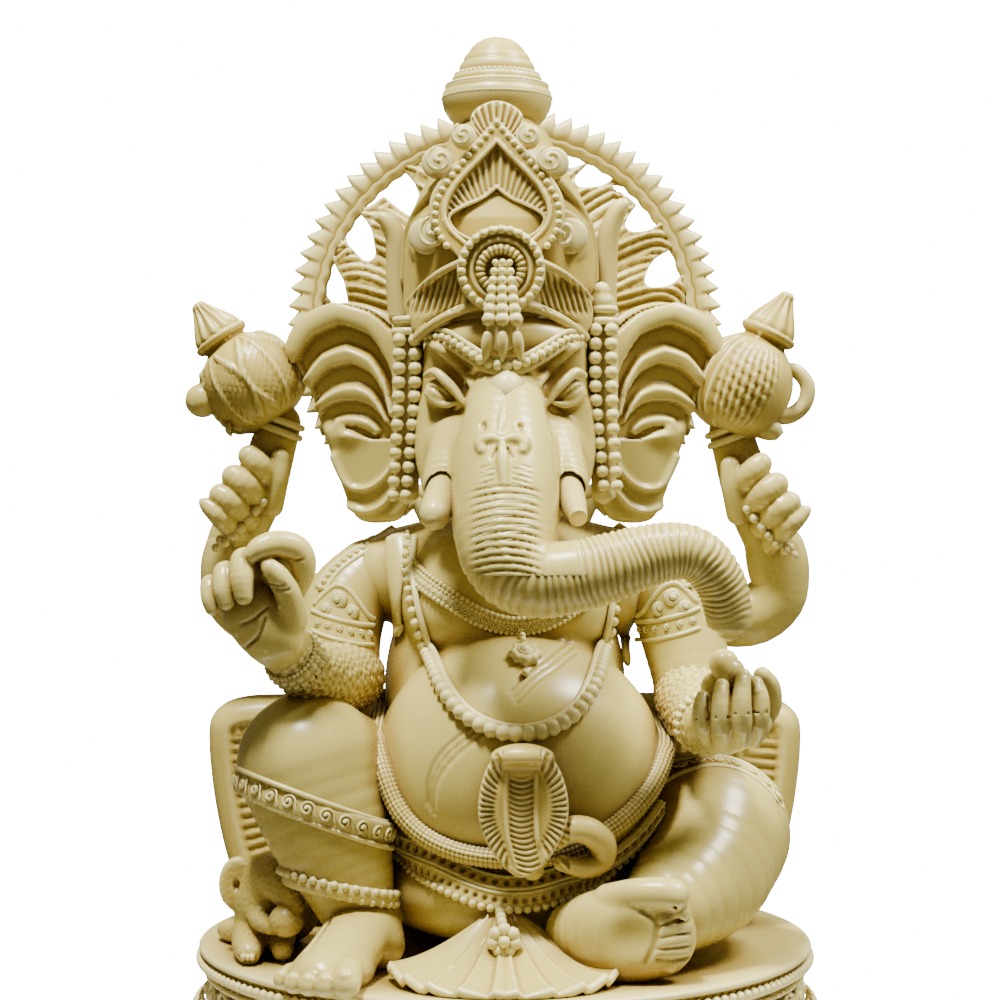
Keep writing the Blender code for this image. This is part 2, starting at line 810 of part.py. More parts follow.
def make_vessels():
    """The leafy bud in the rear right hand and the water pot in the rear left hand."""
    profile = [
        (0.0, 0.0),
        (5.0, 0.5),
        (12.6, 6.0),
        (15.2, 14.5),
        (13.0, 22.0),
        (6.6, 28.0),
        (8.4, 30.5),
        (7.4, 33.0),
        (3.6, 39.0),
        (0.0, 43.5),
    ]
    bud = casting(
        "bud_vessel",
        "carved_resin",
        turned(profile, (-68.3, 6, 192.2), axis=(-0.579, 0, 0.815), segments=16),
        ball((-90.5, 3, 198), (5.0, 5.0, 5.2), fine=2),
    )
    pot = casting(
        "water_pot",
        "carved_resin",
        turned(
            [(r, 1.08 * h) for r, h in profile], (64.8, 6, 189.0), axis=(0.453, 0, 0.892), segments=16
        ),
        hoop((86.0, 5, 200.5), (5.4, 7.2), (0, -1, 0), 1.8, 1.0, sides=6, count=14),
    )
    return [bud, pot]


def make_ornaments():
    """Collar, necklaces, serpent girdle, belt, sash ends and the fan of drapery."""
    collar = casting(
        "collar",
        "carved_resin",
        tube(
            [(-29, -2, 156, 3.4), (-26, -14, 152, 3.6),
             *laid_on_body([(-16, 140), (-8, 134), (5, 131), (16, 134), (23, 140)], 3.6),
             (29, -14, 152, 3.6), (31, -2, 156, 3.4)],
            sides=6, flat=1.35, upright=(0, -0.54, 0.84),
        ),
    )
    collar_pendant = casting(
        "collar_pendant",
        "carved_resin",
        ball((5.6, front_of_body(5.6, 124) - 2.4, 124), (4.6, 3.4, 4.8), fine=2),
    )
    long_necklace = casting(
        "long_necklace",
        "carved_resin",
        tube(
            [(-30, -2, 158, 2.8),
             *laid_on_body([(-28, 138), (-24, 124), (-17, 112), (-7, 105), (5.4, 103), (16, 105.5), (25, 113),
                            (30, 124), (32, 138)], 3.0),
             (32, -2, 158, 2.8)],
            sides=6, upright=(0, -0.6, 0.8),
        ),
    )
    serpent = casting(
        "serpent_girdle",
        "carved_resin",
        tube(
            [(-38, -6, 108, 3.2),
             *laid_on_body([(-34, 96), (-31, 82), (-22, 72), (-9, 67), (5, 66),
                            (20, 68.5), (32, 75), (40, 86), (41, 97)], 3.3),
             (43, -6, 108, 3.2)],
            sides=6, upright=(0, -0.47, 0.88),
        ),
    )
    hood_front = front_of_body(5, 84) - 6.2
    hood = casting(
        "serpent_hood",
        "carved_resin",
        slab(
            [(5, 101), (-1, 99.5), (-5, 94), (-6.5, 86), (-6, 78), (-2, 70), (4, 66.5), (10, 69), (14.5, 77),
             (16.5, 86), (15, 94), (11, 99.5)],
            hood_front, hood_front + 8.5,
        ),
        hoop((19.5, hood_front + 5.5, 74), (5.6, 5.2), (0, -1, 0.2), 2.6, 1.0, sides=6, count=12),
    )
    belt = casting(
        "waist_belt",
        "carved_resin",
        tube(
            [(-46, -4, 70, 3.2), (-42, -22, 68, 3.2), (-31, -40, 63, 3.3), (-15, -52, 59, 3.4),
             (2.7, -56.5, 57.5, 3.5),
             (21, -51, 59, 3.4), (38, -39, 63, 3.3), (45, -22, 67, 3.2), (47, -4, 70, 3.2)],
            sides=6, flat=1.5, upright=(0, -0.16, 0.99),
        ),
    )
    belt_tassel = casting("belt_tassel", "carved_resin", ball((0, -68.5, 50.5), (5.2, 4.4, 6.4), fine=2))
    drape = casting(
        "drape_fan",
        "polished_resin",
        block(
            [(-14, -62, 54), (14, -62, 54), (-16, -46, 56), (16, -46, 56), (-30, -80, 37), (-30, -80, 41),
             (0, -88.5, 37), (0, -88.5, 39.5), (28, -84, 37), (30, -82, 42), (-32, -56, 37), (30, -56, 37)]
        ),
    )
    right_sash = casting(
        "right_sash_end",
        "polished_resin",
        tube([(-31, -12, 156, 4.8), (-33.5, -27, 145, 5.2), (-34, -36, 124, 4.8)], sides=8, flat=0.6,
             upright=(0, -0.8, 0.6)),
    )
    left_sash = casting(
        "left_sash_end",
        "polished_resin",
        tube([(34, -10, 156, 4.8), (37.5, -26, 144, 5.4), (38.5, -36, 120, 5.2)], sides=8, flat=0.6,
             upright=(0, -0.8, 0.6)),
    )
    sashes = [right_sash, left_sash]
    return [hood, belt_tassel, drape, collar_pendant, belt, *sashes, collar, serpent, long_necklace]


def make_mouse():
    """The mouse that sits at the figure's right foot."""
    return modelled(
        "mouse",
        "carved_resin",
        420,
        ball((-71, -24, 50), (10, 15, 13), fine=3),
        ball((-64, -38, 53), (7.5, 9, 7.5), fine=2),
        tube([(-62, -42, 51, 4.5), (-59.5, -48, 46.5, 2.6)], sides=7, steps=1),
        ball((-78.5, -25, 57), (5.6, 3.0, 6.4), fine=2),
        ball((-66, -40, 43), (6, 6, 6), fine=2),
    )


def build():
    """Make every casting, then cut the sockets: each casting is cut by those after it in the list."""
    clear_scene()
    pedestal, felt = make_base()
    flames, ring = make_halo()
    torso = make_body()
    head, right_ear, left_ear, right_tusk, left_tusk, trunk = make_head()
    right_leg, left_leg, right_foot, left_foot, knee_band, anklet = make_legs()
    front_arms = make_front_arms()
    right_upper, right_forearm, held_sweet, right_hand, left_upper, left_forearm, bowl, left_hand = front_arms
    rear_right_arm, rear_right_hand, rear_left_arm, rear_left_hand = make_rear_arms()
    castings = [flames, ring, make_cushion(), make_mouse()]
    castings += [right_hand, left_hand, rear_right_hand, rear_left_hand, right_foot, left_foot]
    castings += make_ornaments()
    castings += [torso, head, right_ear, left_ear]
    castings += [*make_vessels(), right_leg, left_leg]
    castings += [right_forearm, left_forearm, right_upper, left_upper, rear_right_arm, rear_left_arm]
    castings += [held_sweet, bowl, knee_band, anklet]
    castings += make_crown()
    castings += [right_tusk, left_tusk, trunk, pedestal, felt]
    seat_all(castings)
    for item in castings:
        item.data.shade_smooth()
        item.data.set_sharp_from_angle(angle=math.radians(35))


build()
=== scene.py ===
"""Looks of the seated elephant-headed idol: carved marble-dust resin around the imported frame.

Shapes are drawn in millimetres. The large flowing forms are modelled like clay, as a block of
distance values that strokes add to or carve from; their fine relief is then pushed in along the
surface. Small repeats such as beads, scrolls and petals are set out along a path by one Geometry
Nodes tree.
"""

import logging
import math
from dataclasses import dataclass, field
from enum import Enum
from typing import Callable, Iterable, Sequence

import bpy
import numpy as np
import openvdb
from mathutils import Matrix, Vector


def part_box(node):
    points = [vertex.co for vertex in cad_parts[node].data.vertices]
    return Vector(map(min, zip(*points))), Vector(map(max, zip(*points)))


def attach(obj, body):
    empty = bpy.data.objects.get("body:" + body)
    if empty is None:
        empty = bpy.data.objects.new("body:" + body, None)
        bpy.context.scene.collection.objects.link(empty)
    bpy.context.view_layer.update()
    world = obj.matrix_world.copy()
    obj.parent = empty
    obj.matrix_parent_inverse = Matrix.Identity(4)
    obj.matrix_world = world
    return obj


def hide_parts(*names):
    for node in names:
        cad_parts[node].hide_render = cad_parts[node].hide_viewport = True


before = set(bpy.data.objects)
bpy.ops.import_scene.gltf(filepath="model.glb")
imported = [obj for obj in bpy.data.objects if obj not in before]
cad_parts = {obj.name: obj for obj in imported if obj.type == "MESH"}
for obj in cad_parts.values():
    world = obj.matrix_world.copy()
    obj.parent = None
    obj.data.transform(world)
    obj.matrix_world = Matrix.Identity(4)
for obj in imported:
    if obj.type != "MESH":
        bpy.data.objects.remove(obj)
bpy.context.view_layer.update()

MM = 0.001
FAR = 6.0
LOG = logging.getLogger("idol")
FLOOR_RADIUS = 0.13
FLOOR_SIDES = 96
ROOM_GLOW = 0.17
BACKDROP_GLOW = 30.0
LAMP_TINT = "#FFFBEA"
LENS_MM = 79.2
SENSOR_MM = 36.0
CAMERA_MM = (-1.5, -660.0, 168.0)
PEDESTAL_TOP = 38.0
TINY = 1e-9
NO_LENGTH = 1e-12
NEVER = 1e9

Triple = tuple[float, float, float]
Station = tuple[float, float, float, float]
Field2D = Callable[[np.ndarray, np.ndarray], np.ndarray]


# ---------------------------------------------------------------- finishes


def linear(hex_colour: str) -> tuple[float, float, float, float]:
    """Turn an sRGB hex colour into linear RGBA.

    Args:
        hex_colour: Six hex digits with a leading #.
    Returns:
        Linear red, green, blue and an alpha of one.
    """
    channels = [int(hex_colour[i : i + 2], 16) / 255 for i in (1, 3, 5)]
    tones = [c / 12.92 if c <= 0.04045 else ((c + 0.055) / 1.055) ** 2.4 for c in channels]
    return (*tones, 1.0)


def put(tree: bpy.types.NodeTree, kind: str, settings: dict | None = None, **links: object) -> bpy.types.Node:
    """Add a node with its settings, and link or set its inputs by name.

    Args:
        tree: The node tree.
        kind: The node's type name.
        settings: Property values to set first.
        links: Input name (underscores for spaces, or i0, i1 for an index) to a socket or a value.
    Returns:
        The new node.
    """
    node = tree.nodes.new(kind)
    for name, value in (settings or {}).items():
        setattr(node, name, value)
    for name, value in links.items():
        by_index = name[0] == "i" and name[1:].isdigit()
        socket = node.inputs[int(name[1:]) if by_index else name.replace("_", " ")]
        if isinstance(value, bpy.types.NodeSocket):
            tree.links.new(value, socket)
        else:
            socket.default_value = value
    return node


@dataclass(frozen=True)
class Resin:
    """Cast marble-dust resin: ivory, a little translucent, waxed to a soft gloss.

    Light and shade are painted into its colour: convex high spots carry a pale painted highlight, and
    recesses and creases a darker, yellower painted shade, the more so the deeper they lie.
    """

    name: str
    # Colours: a pale painted highlight for convex high spots, the resin's own colour, then a mid and a deep
    # painted shade for recesses and creases.
    painted_edge_highlight: str = "#F8F0B0"
    body: str = "#D6C872"
    painted_recess_shade: str = "#AE9240"
    deep: str = "#70521A"
    roughness: float = 0.27
    glow_mm: float = 2.0
    pore_mm: float = 0.5
    # Reach of the ambient occlusion that lays on the painted shade.
    painted_shade_reach_mm: float = 12.0
    deep_at: float = 0.12
    painted_recess_shade_at: float = 0.5
    body_at: float = 0.93
    refraction: float = 1.5
    milkiness: float = 0.15

    def material(self) -> bpy.types.Material:
        """Build the node material, or return it if it is there.

        Returns:
            The material.
        """
        made = bpy.data.materials.get(self.name)
        if made:
            return made
        made = bpy.data.materials.new(self.name)
        made.use_nodes = True
        tree = made.node_tree
        shader = tree.nodes["Principled BSDF"]
        place = put(tree, "ShaderNodeTexCoord").outputs["Object"]
        # Painted shade: ambient occlusion darkens the colour from the resin's own tone to the mid and deep
        # shade colours in recesses and under overhangs.
        painted_shade_occlusion = put(tree, "ShaderNodeAmbientOcclusion", {"samples": 8}, Distance=self.painted_shade_reach_mm * MM)
        painted_shade_ramp = put(tree, "ShaderNodeValToRGB", Fac=painted_shade_occlusion.outputs["AO"])
        stops = painted_shade_ramp.color_ramp.elements
        stops[0].position, stops[0].color = self.deep_at, linear(self.deep)
        stops[1].position, stops[1].color = self.body_at, linear(self.body)
        stops.new(self.painted_recess_shade_at).color = linear(self.painted_recess_shade)
        # Painted highlight: convex spots, found by pointiness, are mixed towards the pale highlight colour.
        shape = put(tree, "ShaderNodeNewGeometry").outputs["Pointiness"]
        edge = put(
            tree, "ShaderNodeMapRange", {"clamp": True}, Value=shape, From_Min=0.5, From_Max=0.56,
            To_Max=0.8
        )
        painted_edge_highlight = put(tree, "ShaderNodeMix", {"data_type": "RGBA"}, Factor=edge.outputs["Result"])
        tree.links.new(painted_shade_ramp.outputs["Color"], painted_edge_highlight.inputs["A"])
        painted_edge_highlight.inputs["B"].default_value = linear(self.painted_edge_highlight)
        # Painted shade: concave creases, found by pointiness, are mixed towards the deep shade colour.
        crease = put(
            tree, "ShaderNodeMapRange", {"clamp": True}, Value=shape, From_Min=0.5, From_Max=0.44,
            To_Max=0.7
        )
        painted_crease_shade = put(tree, "ShaderNodeMix", {"data_type": "RGBA"}, Factor=crease.outputs["Result"])
        tree.links.new(painted_edge_highlight.outputs["Result"], painted_crease_shade.inputs["A"])
        painted_crease_shade.inputs["B"].default_value = linear(self.deep)
        cloud = put(tree, "ShaderNodeTexNoise", Vector=place, Scale=1 / (14 * MM), Detail=3.0)
        mottle = put(
            tree, "ShaderNodeMapRange", Value=cloud.outputs[
                "Fac"
            ], From_Min=0.3, From_Max=0.7, To_Min=0.92, To_Max=1.0
        )
        last = put(tree, "ShaderNodeVectorMath", {"operation": "SCALE"})
        tree.links.new(painted_crease_shade.outputs["Result"], last.inputs[0])
        tree.links.new(mottle.outputs["Result"], last.inputs["Scale"])
        tree.links.new(last.outputs[0], shader.inputs["Base Color"])
        pores = put(tree, "ShaderNodeTexNoise", Vector=place, Scale=1 / (self.pore_mm * MM), Detail=2.0)
        gloss = put(tree, "ShaderNodeMapRange", Value=pores.outputs["Fac"], To_Min=self.roughness - 0.05)
        gloss.inputs["To Max"].default_value = self.roughness + 0.07
        tree.links.new(gloss.outputs["Result"], shader.inputs["Roughness"])
        bump = put(tree, "ShaderNodeBump", Height=pores.outputs["Fac"], Strength=0.05, Distance=0.05 * MM)
        tree.links.new(bump.outputs[0], shader.inputs["Normal"])
        shader.inputs["IOR"].default_value = self.refraction
        shader.inputs["Subsurface Weight"].default_value = self.milkiness
        shader.inputs["Subsurface Radius"].default_value = (1.0, 0.75, 0.25)
        shader.inputs["Subsurface Scale"].default_value = self.glow_mm * MM
        return made


@dataclass(frozen=True)
class Felt:
    """Pressed wool felt: dull, with short tangled fibres."""

    name: str = "pressed_green_felt"
    colour: str = "#4E5B45"

    def material(self) -> bpy.types.Material:
        """Build the node material, or return it if it is there.

        Returns:
            The material.
        """
        made = bpy.data.materials.get(self.name)
        if made:
            return made
        made = bpy.data.materials.new(self.name)
        made.use_nodes = True
        tree = made.node_tree
        shader = tree.nodes["Principled BSDF"]
        place = put(tree, "ShaderNodeTexCoord").outputs["Object"]
        fibre = put(tree, "ShaderNodeTexNoise", Vector=place, Scale=1 / (0.8 * MM), Detail=4.0)
        shade = put(tree, "ShaderNodeMapRange", Value=fibre.outputs["Fac"], To_Min=0.6, To_Max=1.1)
        tint = put(tree, "ShaderNodeVectorMath", {"operation": "SCALE"}, i0=linear(self.colour)[:3])
        tree.links.new(shade.outputs["Result"], tint.inputs["Scale"])
        tree.links.new(tint.outputs[0], shader.inputs["Base Color"])
        bump = put(tree, "ShaderNodeBump", Height=fibre.outputs["Fac"], Strength=0.6, Distance=0.2 * MM)
        tree.links.new(bump.outputs[0], shader.inputs["Normal"])
        shader.inputs["Roughness"].default_value = 0.95
        shader.inputs["Sheen Weight"].default_value = 0.3
        return made


class Finish(Enum):
    """The finishes, by the record's material slot."""

    POLISHED = ("polished_resin", Resin("polished_marble_dust_resin"))
    CARVED = ("carved_resin", Resin("carved_marble_dust_resin", body="#D0BC60", roughness=0.33))
    PEDESTAL = ("pedestal_resin", Resin("pedestal_marble_dust_resin", body="#DCCB78", roughness=0.3))
    FELT = ("felt", Felt())


# ---------------------------------------------------------------- meshes


@dataclass
class Skin:
    """A closed surface, or several: corner places in millimetres, and faces of three or four corners."""

    places: np.ndarray
    quads: np.ndarray
    tris: np.ndarray = field(default_factory=lambda: np.zeros((0, 3), int))

    def plus(self, other: "Skin") -> "Skin":
        """This surface with another beside it.

        Args:
            other: The surface to set beside it.
        Returns:
            Both as one surface.
        """
        start = len(self.places)
        return Skin(
            np.vstack([self.places, other.places]),
            np.vstack([self.quads, other.quads + start]),
            np.vstack([self.tris, other.tris + start]),
        )

    def normals(self) -> np.ndarray:
        """Outward direction at each corner.

        Returns:
            A unit direction for each corner.
        """
        total = np.zeros_like(self.places)
        for faces in (self.quads, self.tris):
            if not len(faces):
                continue
            spots = self.places[faces]
            last = 3 if faces.shape[1] == 4 else 2
            across = np.cross(
                spots[:, last - 1] - spots[:, 0], spots[:, last] - spots[:, 1 if last == 3 else 0]
            )
            for corner in range(faces.shape[1]):
                for axis in range(3):
                    total[:, axis] += np.bincount(faces[:, corner], across[:, axis], len(total))
        return total / np.maximum(np.linalg.norm(total, axis=1, keepdims=True), TINY)

    def pushed(self, amount: np.ndarray) -> "Skin":
        """The surface moved out along its normals by an amount for each corner."""
        return Skin(self.places + self.normals() * amount[:, None], self.quads, self.tris)

    def moved(self, shift: Sequence[float]) -> "Skin":
        """The surface shifted."""
        return Skin(self.places + np.array(shift), self.quads, self.tris)

    def mirrored(self) -> "Skin":
        """The surface reflected to the other side of the figure, with its faces still outwards."""
        return Skin(self.places * np.array((-1.0, 1.0, 1.0)), self.quads[:, ::-1], self.tris[:, ::-1])


def joined(skins: Iterable[Skin]) -> Skin:
    """Several surfaces as one.

    Args:
        skins: The surfaces.
    Returns:
        One surface.
    """
    parts = list(skins)
    total = parts[0]
    for part in parts[1:]:
        total = total.plus(part)
    return total


def centre_of(node: str) -> np.ndarray:
    """Centre of a CAD node's box in millimetres."""
    low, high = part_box(node)
    return (np.array(low) + np.array(high)) / 2 / MM


def finished(
    name: str, nodes: Sequence[str], skin: Skin, finish: Finish, most: int = 50_000
) -> bpy.types.Object:
    """Make one visible piece, which stands for CAD nodes.

    Args:
        name: The piece's name.
        nodes: The CAD nodes that it replaces.
        skin: Its surface in millimetres, in place.
        finish: Its finish.
        most: Triangles that it may have; a finer surface is thinned to them.
    Returns:
        The finished object.
    """
    mesh = bpy.data.meshes.new(name)
    mesh.from_pydata((skin.places * MM).tolist(), [], skin.quads.tolist() + skin.tris.tolist())
    mesh.validate()
    mesh.shade_smooth()
    slot, look = finish.value
    mesh.materials.append(look.material())
    piece = bpy.data.objects.new(name, mesh)
    bpy.context.scene.collection.objects.link(piece)
    triangles = 2 * len(skin.quads) + len(skin.tris)
    if triangles > most:
        piece.modifiers.new("thinned", "DECIMATE").ratio = most / triangles
        mesh = bpy.data.meshes.new_from_object(piece.evaluated_get(bpy.context.evaluated_depsgraph_get()))
        piece.modifiers.clear()
        full, piece.data = piece.data, mesh
        bpy.data.meshes.remove(full)
        mesh.name = name
    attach(piece, "root")
    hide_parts(*nodes)
    LOG.info("%s: %d faces for %s", name, len(mesh.polygons), ", ".join(nodes))
    return piece


# ---------------------------------------------------------------- clay


def meld(first: np.ndarray, second: np.ndarray, soft: float) -> np.ndarray:
    """The nearer of two distances, rounded where they cross.

    Args:
        first: Distances.
        second: Distances.
        soft: Width of the rounding in millimetres.
    Returns:
        The combined distances.
    """
    if soft <= 0:
        return np.minimum(first, second)
    share = np.clip(0.5 + 0.5 * (first - second) / soft, 0, 1)
    return first * (1 - share) + second * share - soft * share * (1 - share)


def through(stations: Sequence[Sequence[float]], steps: int = 5, closed: bool = False) -> np.ndarray:
    """A smooth run of points through the stations.

    Args:
        stations: Points of any number of values.
        steps: Points to each span.
        closed: Whether the run returns to its start.
    Returns:
        An array with a row for each point.
    """
    spots = np.array(stations, float)
    count = len(spots)
    rows = []
    for i in range(count if closed else count - 1):
        pick = [(i + k) % count if closed else min(max(i + k, 0), count - 1) for k in (-1, 0, 1, 2)]
        a, b, c, d = spots[pick]
        for t in np.arange(steps) / steps:
            rows.append(
                0.5 * (
                    2 * b + (c - a) * t + (2 * a - 5 * b + 4 * c - d) * t**2 + (3 * b - a - 3 * c + d) * t**3
                )
            )
    if not closed:
        rows.append(spots[-1])
    return np.array(rows)


def outline_distance(outline: np.ndarray, x: np.ndarray, z: np.ndarray) -> np.ndarray:
    """Distance to a closed outline in the X, Z plane, negative inside it.

    Args:
        outline: Closed outline as X, Z rows.
        x: X values.
        z: Z values.
    Returns:
        The distances.
    """
    best = np.full(np.broadcast(x, z).shape, NEVER)
    inside = np.zeros(best.shape, bool)
    for (ax, az), (bx, bz) in zip(outline, np.roll(outline, -1, axis=0)):
        ex, ez = bx - ax, bz - az
        t = np.clip(((x - ax) * ex + (z - az) * ez) / max(ex * ex + ez * ez, NO_LENGTH), 0, 1)
        best = np.minimum(best, (x - ax - t * ex) ** 2 + (z - az - t * ez) ** 2)
        crosses = (az > z) != (bz > z)
        rise = bz - az if bz != az else NO_LENGTH
        inside ^= crosses & (x < (z - az) / rise * ex + ax)
    return np.where(inside, -1, 1) * np.sqrt(best)


def spin(x: float = 0.0, y: float = 0.0, z: float = 0.0) -> np.ndarray:
    """Turn matrix for angles about X, then Y, then Z.

    Args:
        x: Degrees about X.
        y: Degrees about Y.
        z: Degrees about Z.
    Returns:
        A 3 by 3 matrix.
    """
    turns = (Matrix.Rotation(math.radians(a), 3, axis) for a, axis in ((z, "Z"), (y, "Y"), (x, "X")))
    total = Matrix.Identity(3)
    for turn in turns:
        total = total @ turn
    return np.array(total)


class Clay:
    """A block of distance values in millimetres that strokes add to or carve from."""

    def __init__(self, low: Triple, high: Triple, grain: float) -> None:
        """Start an empty block.

        Args:
            low: Lowest corner of the space it may fill.
            high: Highest corner.
            grain: Size of a cell.
        """
        self.low = np.array(low, float)
        self.grain = grain
        self.shape = tuple(int(math.ceil((h - l) / grain)) + 1 for l, h in zip(low, high))
        self.field = np.full(self.shape, FAR, np.float32)

    def window(self, low: np.ndarray, high: np.ndarray) -> tuple[tuple[slice, ...], list[np.ndarray]]:
        """Cells between two corners, and their X, Y and Z values ready to broadcast.

        Args:
            low: Lowest corner.
            high: Highest corner.
        Returns:
            The cells' slices and their X, Y and Z values.
        """
        spans, values = [], []
        for axis in range(3):
            start = max(int((low[axis] - self.low[axis]) / self.grain) - 1, 0)
            stop = min(int((high[axis] - self.low[axis]) / self.grain) + 3, self.shape[axis])
            spans.append(slice(start, max(stop, start)))
            line = self.low[axis] + self.grain * np.arange(start, max(stop, start), dtype=np.float32)
            values.append(line.reshape([-1 if axis == k else 1 for k in range(3)]))
        return tuple(spans), values

    def press(self, spans: tuple[slice, ...], distance: np.ndarray, soft: float, carve: bool) -> None:
        """Add a stroke's distances to the block, or carve them from it.

        Args:
            spans: Cells that the stroke covers.
            distance: The stroke's distances.
            soft: Width of the rounding.
            carve: Whether it is taken away.
        """
        held = self.field[spans]
        if carve:
            self.field[spans] = -meld(-held, distance, soft)
        else:
            self.field[spans] = meld(held, distance, soft)

    def ball(
        self,
        centre: Triple,
        radii: Triple,
        soft: float = 1.5,
        turn: np.ndarray | None = None,
        carve: bool = False,
    ) -> "Clay":
        """Press on, or carve out, an ellipsoid.

        Args:
            centre: Its centre.
            radii: Its half axes.
            soft: Width of the rounding where it meets the rest.
            turn: Turn matrix of its axes.
            carve: Whether it is taken away.
        Returns:
            The block.
        """
        reach = max(radii) + FAR
        spans, (x, y, z) = self.window(np.array(centre) - reach, np.array(centre) + reach)
        parts = [x - centre[0], y - centre[1], z - centre[2]]
        if turn is not None:
            parts = [sum(turn[line][k] * parts[line] for line in range(3)) for k in range(3)]
        scaled = sum((p / r) ** 2 for p, r in zip(parts, radii))
        steep = sum((p / r**2) ** 2 for p, r in zip(parts, radii))
        near = np.sqrt(scaled)
        self.press(spans, near * (near - 1) / np.sqrt(np.maximum(steep, TINY)), soft, carve)
        return self

    def limb(
        self,
        stations: Sequence[Station],
        soft: float = 1.5,
        flat: float = 1.0,
        thin: Triple = (0, 1, 0),
        carve: bool = False,
        steps: int = 4,
    ) -> "Clay":
        """Press on, or carve out, a rounded run through (x, y, z, radius) stations.

        Args:
            stations: Points with a radius each.
            soft: Width of the rounding where it meets the rest.
            flat: Thickness along the thin direction, as a share of the radius.
            thin: The thin direction.
            carve: Whether it is taken away.
            steps: Points to each span.
        Returns:
            The block.
        """
        path = through(stations, steps)
        reach = path[:, 3].max() + FAR
        spans, _ = self.window(path[:, :3].min(0) - reach, path[:, :3].max(0) + reach)
        start = [s.start for s in spans]
        local = np.full(tuple(s.stop - s.start for s in spans), FAR, np.float32)
        axis = np.array(thin, float) / np.linalg.norm(thin)
        for a, b in zip(path, path[1:]):
            room = max(a[3], b[3]) + FAR
            part, (x, y, z) = self.window(np.minimum(a, b)[:3] - room, np.maximum(a, b)[:3] + room)
            inner = tuple(slice(p.start - s, p.stop - s) for p, s in zip(part, start))
            inner = tuple(slice(max(i.start, 0), i.stop) for i in inner)
            edge = b[:3] - a[:3]
            dx, dy, dz = x - a[0], y - a[1], z - a[2]
            t = np.clip((dx * edge[0] + dy * edge[1] + dz * edge[2]) / max(edge @ edge, TINY), 0, 1)
            dx, dy, dz = dx - t * edge[0], dy - t * edge[1], dz - t * edge[2]
            square = dx * dx + dy * dy + dz * dz
            if flat != 1.0:
                along = dx * axis[0] + dy * axis[1] + dz * axis[2]
                square = square + along * along * (1 / flat**2 - 1)
            gap = np.sqrt(square) - (a[3] + t * (b[3] - a[3]))
            if flat < 1.0:
                gap = np.where(gap > 0, gap * flat, gap)
            local[inner] = np.minimum(local[inner], gap)
        self.press(spans, local, soft, carve)
        return self

    def plate(
        self,
        outline: np.ndarray,
        middle: Field2D,
        half: float,
        soft: float = 1.0,
        edge: float = 1.0,
        depth: tuple[float, float] = (-30.0, 30.0),
        carve: bool = False,
    ) -> "Clay":
        """Press on, or carve out, a plate that faces the viewer.

        Args:
            outline: Its X, Z outline.
            middle: Y of its middle at each X, Z.
            half: Half its thickness.
            soft: Width of the rounding where it meets the rest.
            edge: Rounding of its rim.
            depth: Lowest and highest Y that it can reach.
            carve: Whether it is taken away.
        Returns:
            The block.
        """
        low = np.array((outline[:, 0].min() - FAR, depth[0], outline[:, 1].min() - FAR))
        high = np.array((outline[:, 0].max() + FAR, depth[1], outline[:, 1].max() + FAR))
        spans, (x, y, z) = self.window(low, high)
        flat_x, flat_z = x[:, 0, :], z[0, :, :]
        rim = outline_distance(outline, flat_x, flat_z)[:, None, :]
        across = np.abs(y - middle(flat_x, flat_z)[:, None, :]) - half
        self.press(spans, -meld(-rim, -across, edge).astype(np.float32), soft, carve)
        return self

    def lathe(
        self, profile: Sequence[tuple[float, float]], centre: tuple[float, float], soft: float = 0.5
    ) -> "Clay":
        """Press on a turned shape that stands on an upright axis.

        Args:
            profile: Radius and Z outline, from the axis and back to it.
            centre: X and Y of the axis.
            soft: Width of the rounding where it meets the rest.
        Returns:
            The block.
        """
        spread = max(r for r, _ in profile) + FAR
        tall = [h for _, h in profile]
        low = np.array((centre[0] - spread, centre[1] - spread, min(tall) - FAR))
        high = np.array((centre[0] + spread, centre[1] + spread, max(tall) + FAR))
        spans, (x, y, z) = self.window(low, high)
        radius = np.sqrt((x - centre[0]) ** 2 + (y - centre[1]) ** 2)
        outline = np.array([*profile, *[(-r, h) for r, h in reversed(profile)]], float)
        self.press(spans, outline_distance(outline, radius, z).astype(np.float32), soft, False)
        return self

    def reach(self, starts: np.ndarray, directions: np.ndarray, most: float = 60.0) -> np.ndarray:
        """Places where rays last leave the clay.

        Args:
            starts: Where each ray starts.
            directions: Its unit direction.
            most: Its greatest length.
        Returns:
            A place for each ray.
        """
        steps = np.arange(0, most, self.grain / 3)
        spots = starts[:, None, :] + directions[:, None, :] * steps[None, :, None]
        cell = (spots - self.low) / self.grain
        base = np.clip(np.floor(cell).astype(int), 0, np.array(self.shape) - 2)
        part = np.clip(cell - base, 0, 1)
        value = np.zeros(spots.shape[:2])
        for dx in (0, 1):
            for dy in (0, 1):
                for dz in (0, 1):
                    weight = np.ones(spots.shape[:2])
                    for axis, shift in enumerate((dx, dy, dz)):
                        weight = weight * (part[..., axis] if shift else 1 - part[..., axis])
                    value += weight * self.field[base[..., 0] + dx, base[..., 1] + dy, base[..., 2] + dz]
        inside = value < 0
        last = inside.shape[1] - 1 - np.argmax(inside[:, ::-1], axis=1)
        last = np.where(inside.any(axis=1), last, 0)
        return starts + directions * steps[last][:, None]

    def front(self, spots: Sequence[tuple[float, float]], depth: float = 5.0) -> np.ndarray:
        """Places on the clay's front.

        Args:
            spots: X, Z spots to reach.
            depth: A Y inside the clay, where the search starts.
        Returns:
            A place for each spot.
        """
        starts = np.array([(x, depth, z) for x, z in spots], float)
        toward = np.broadcast_to(np.array((0.0, -1.0, 0.0)), starts.shape)
        return self.reach(starts, toward, 110.0)

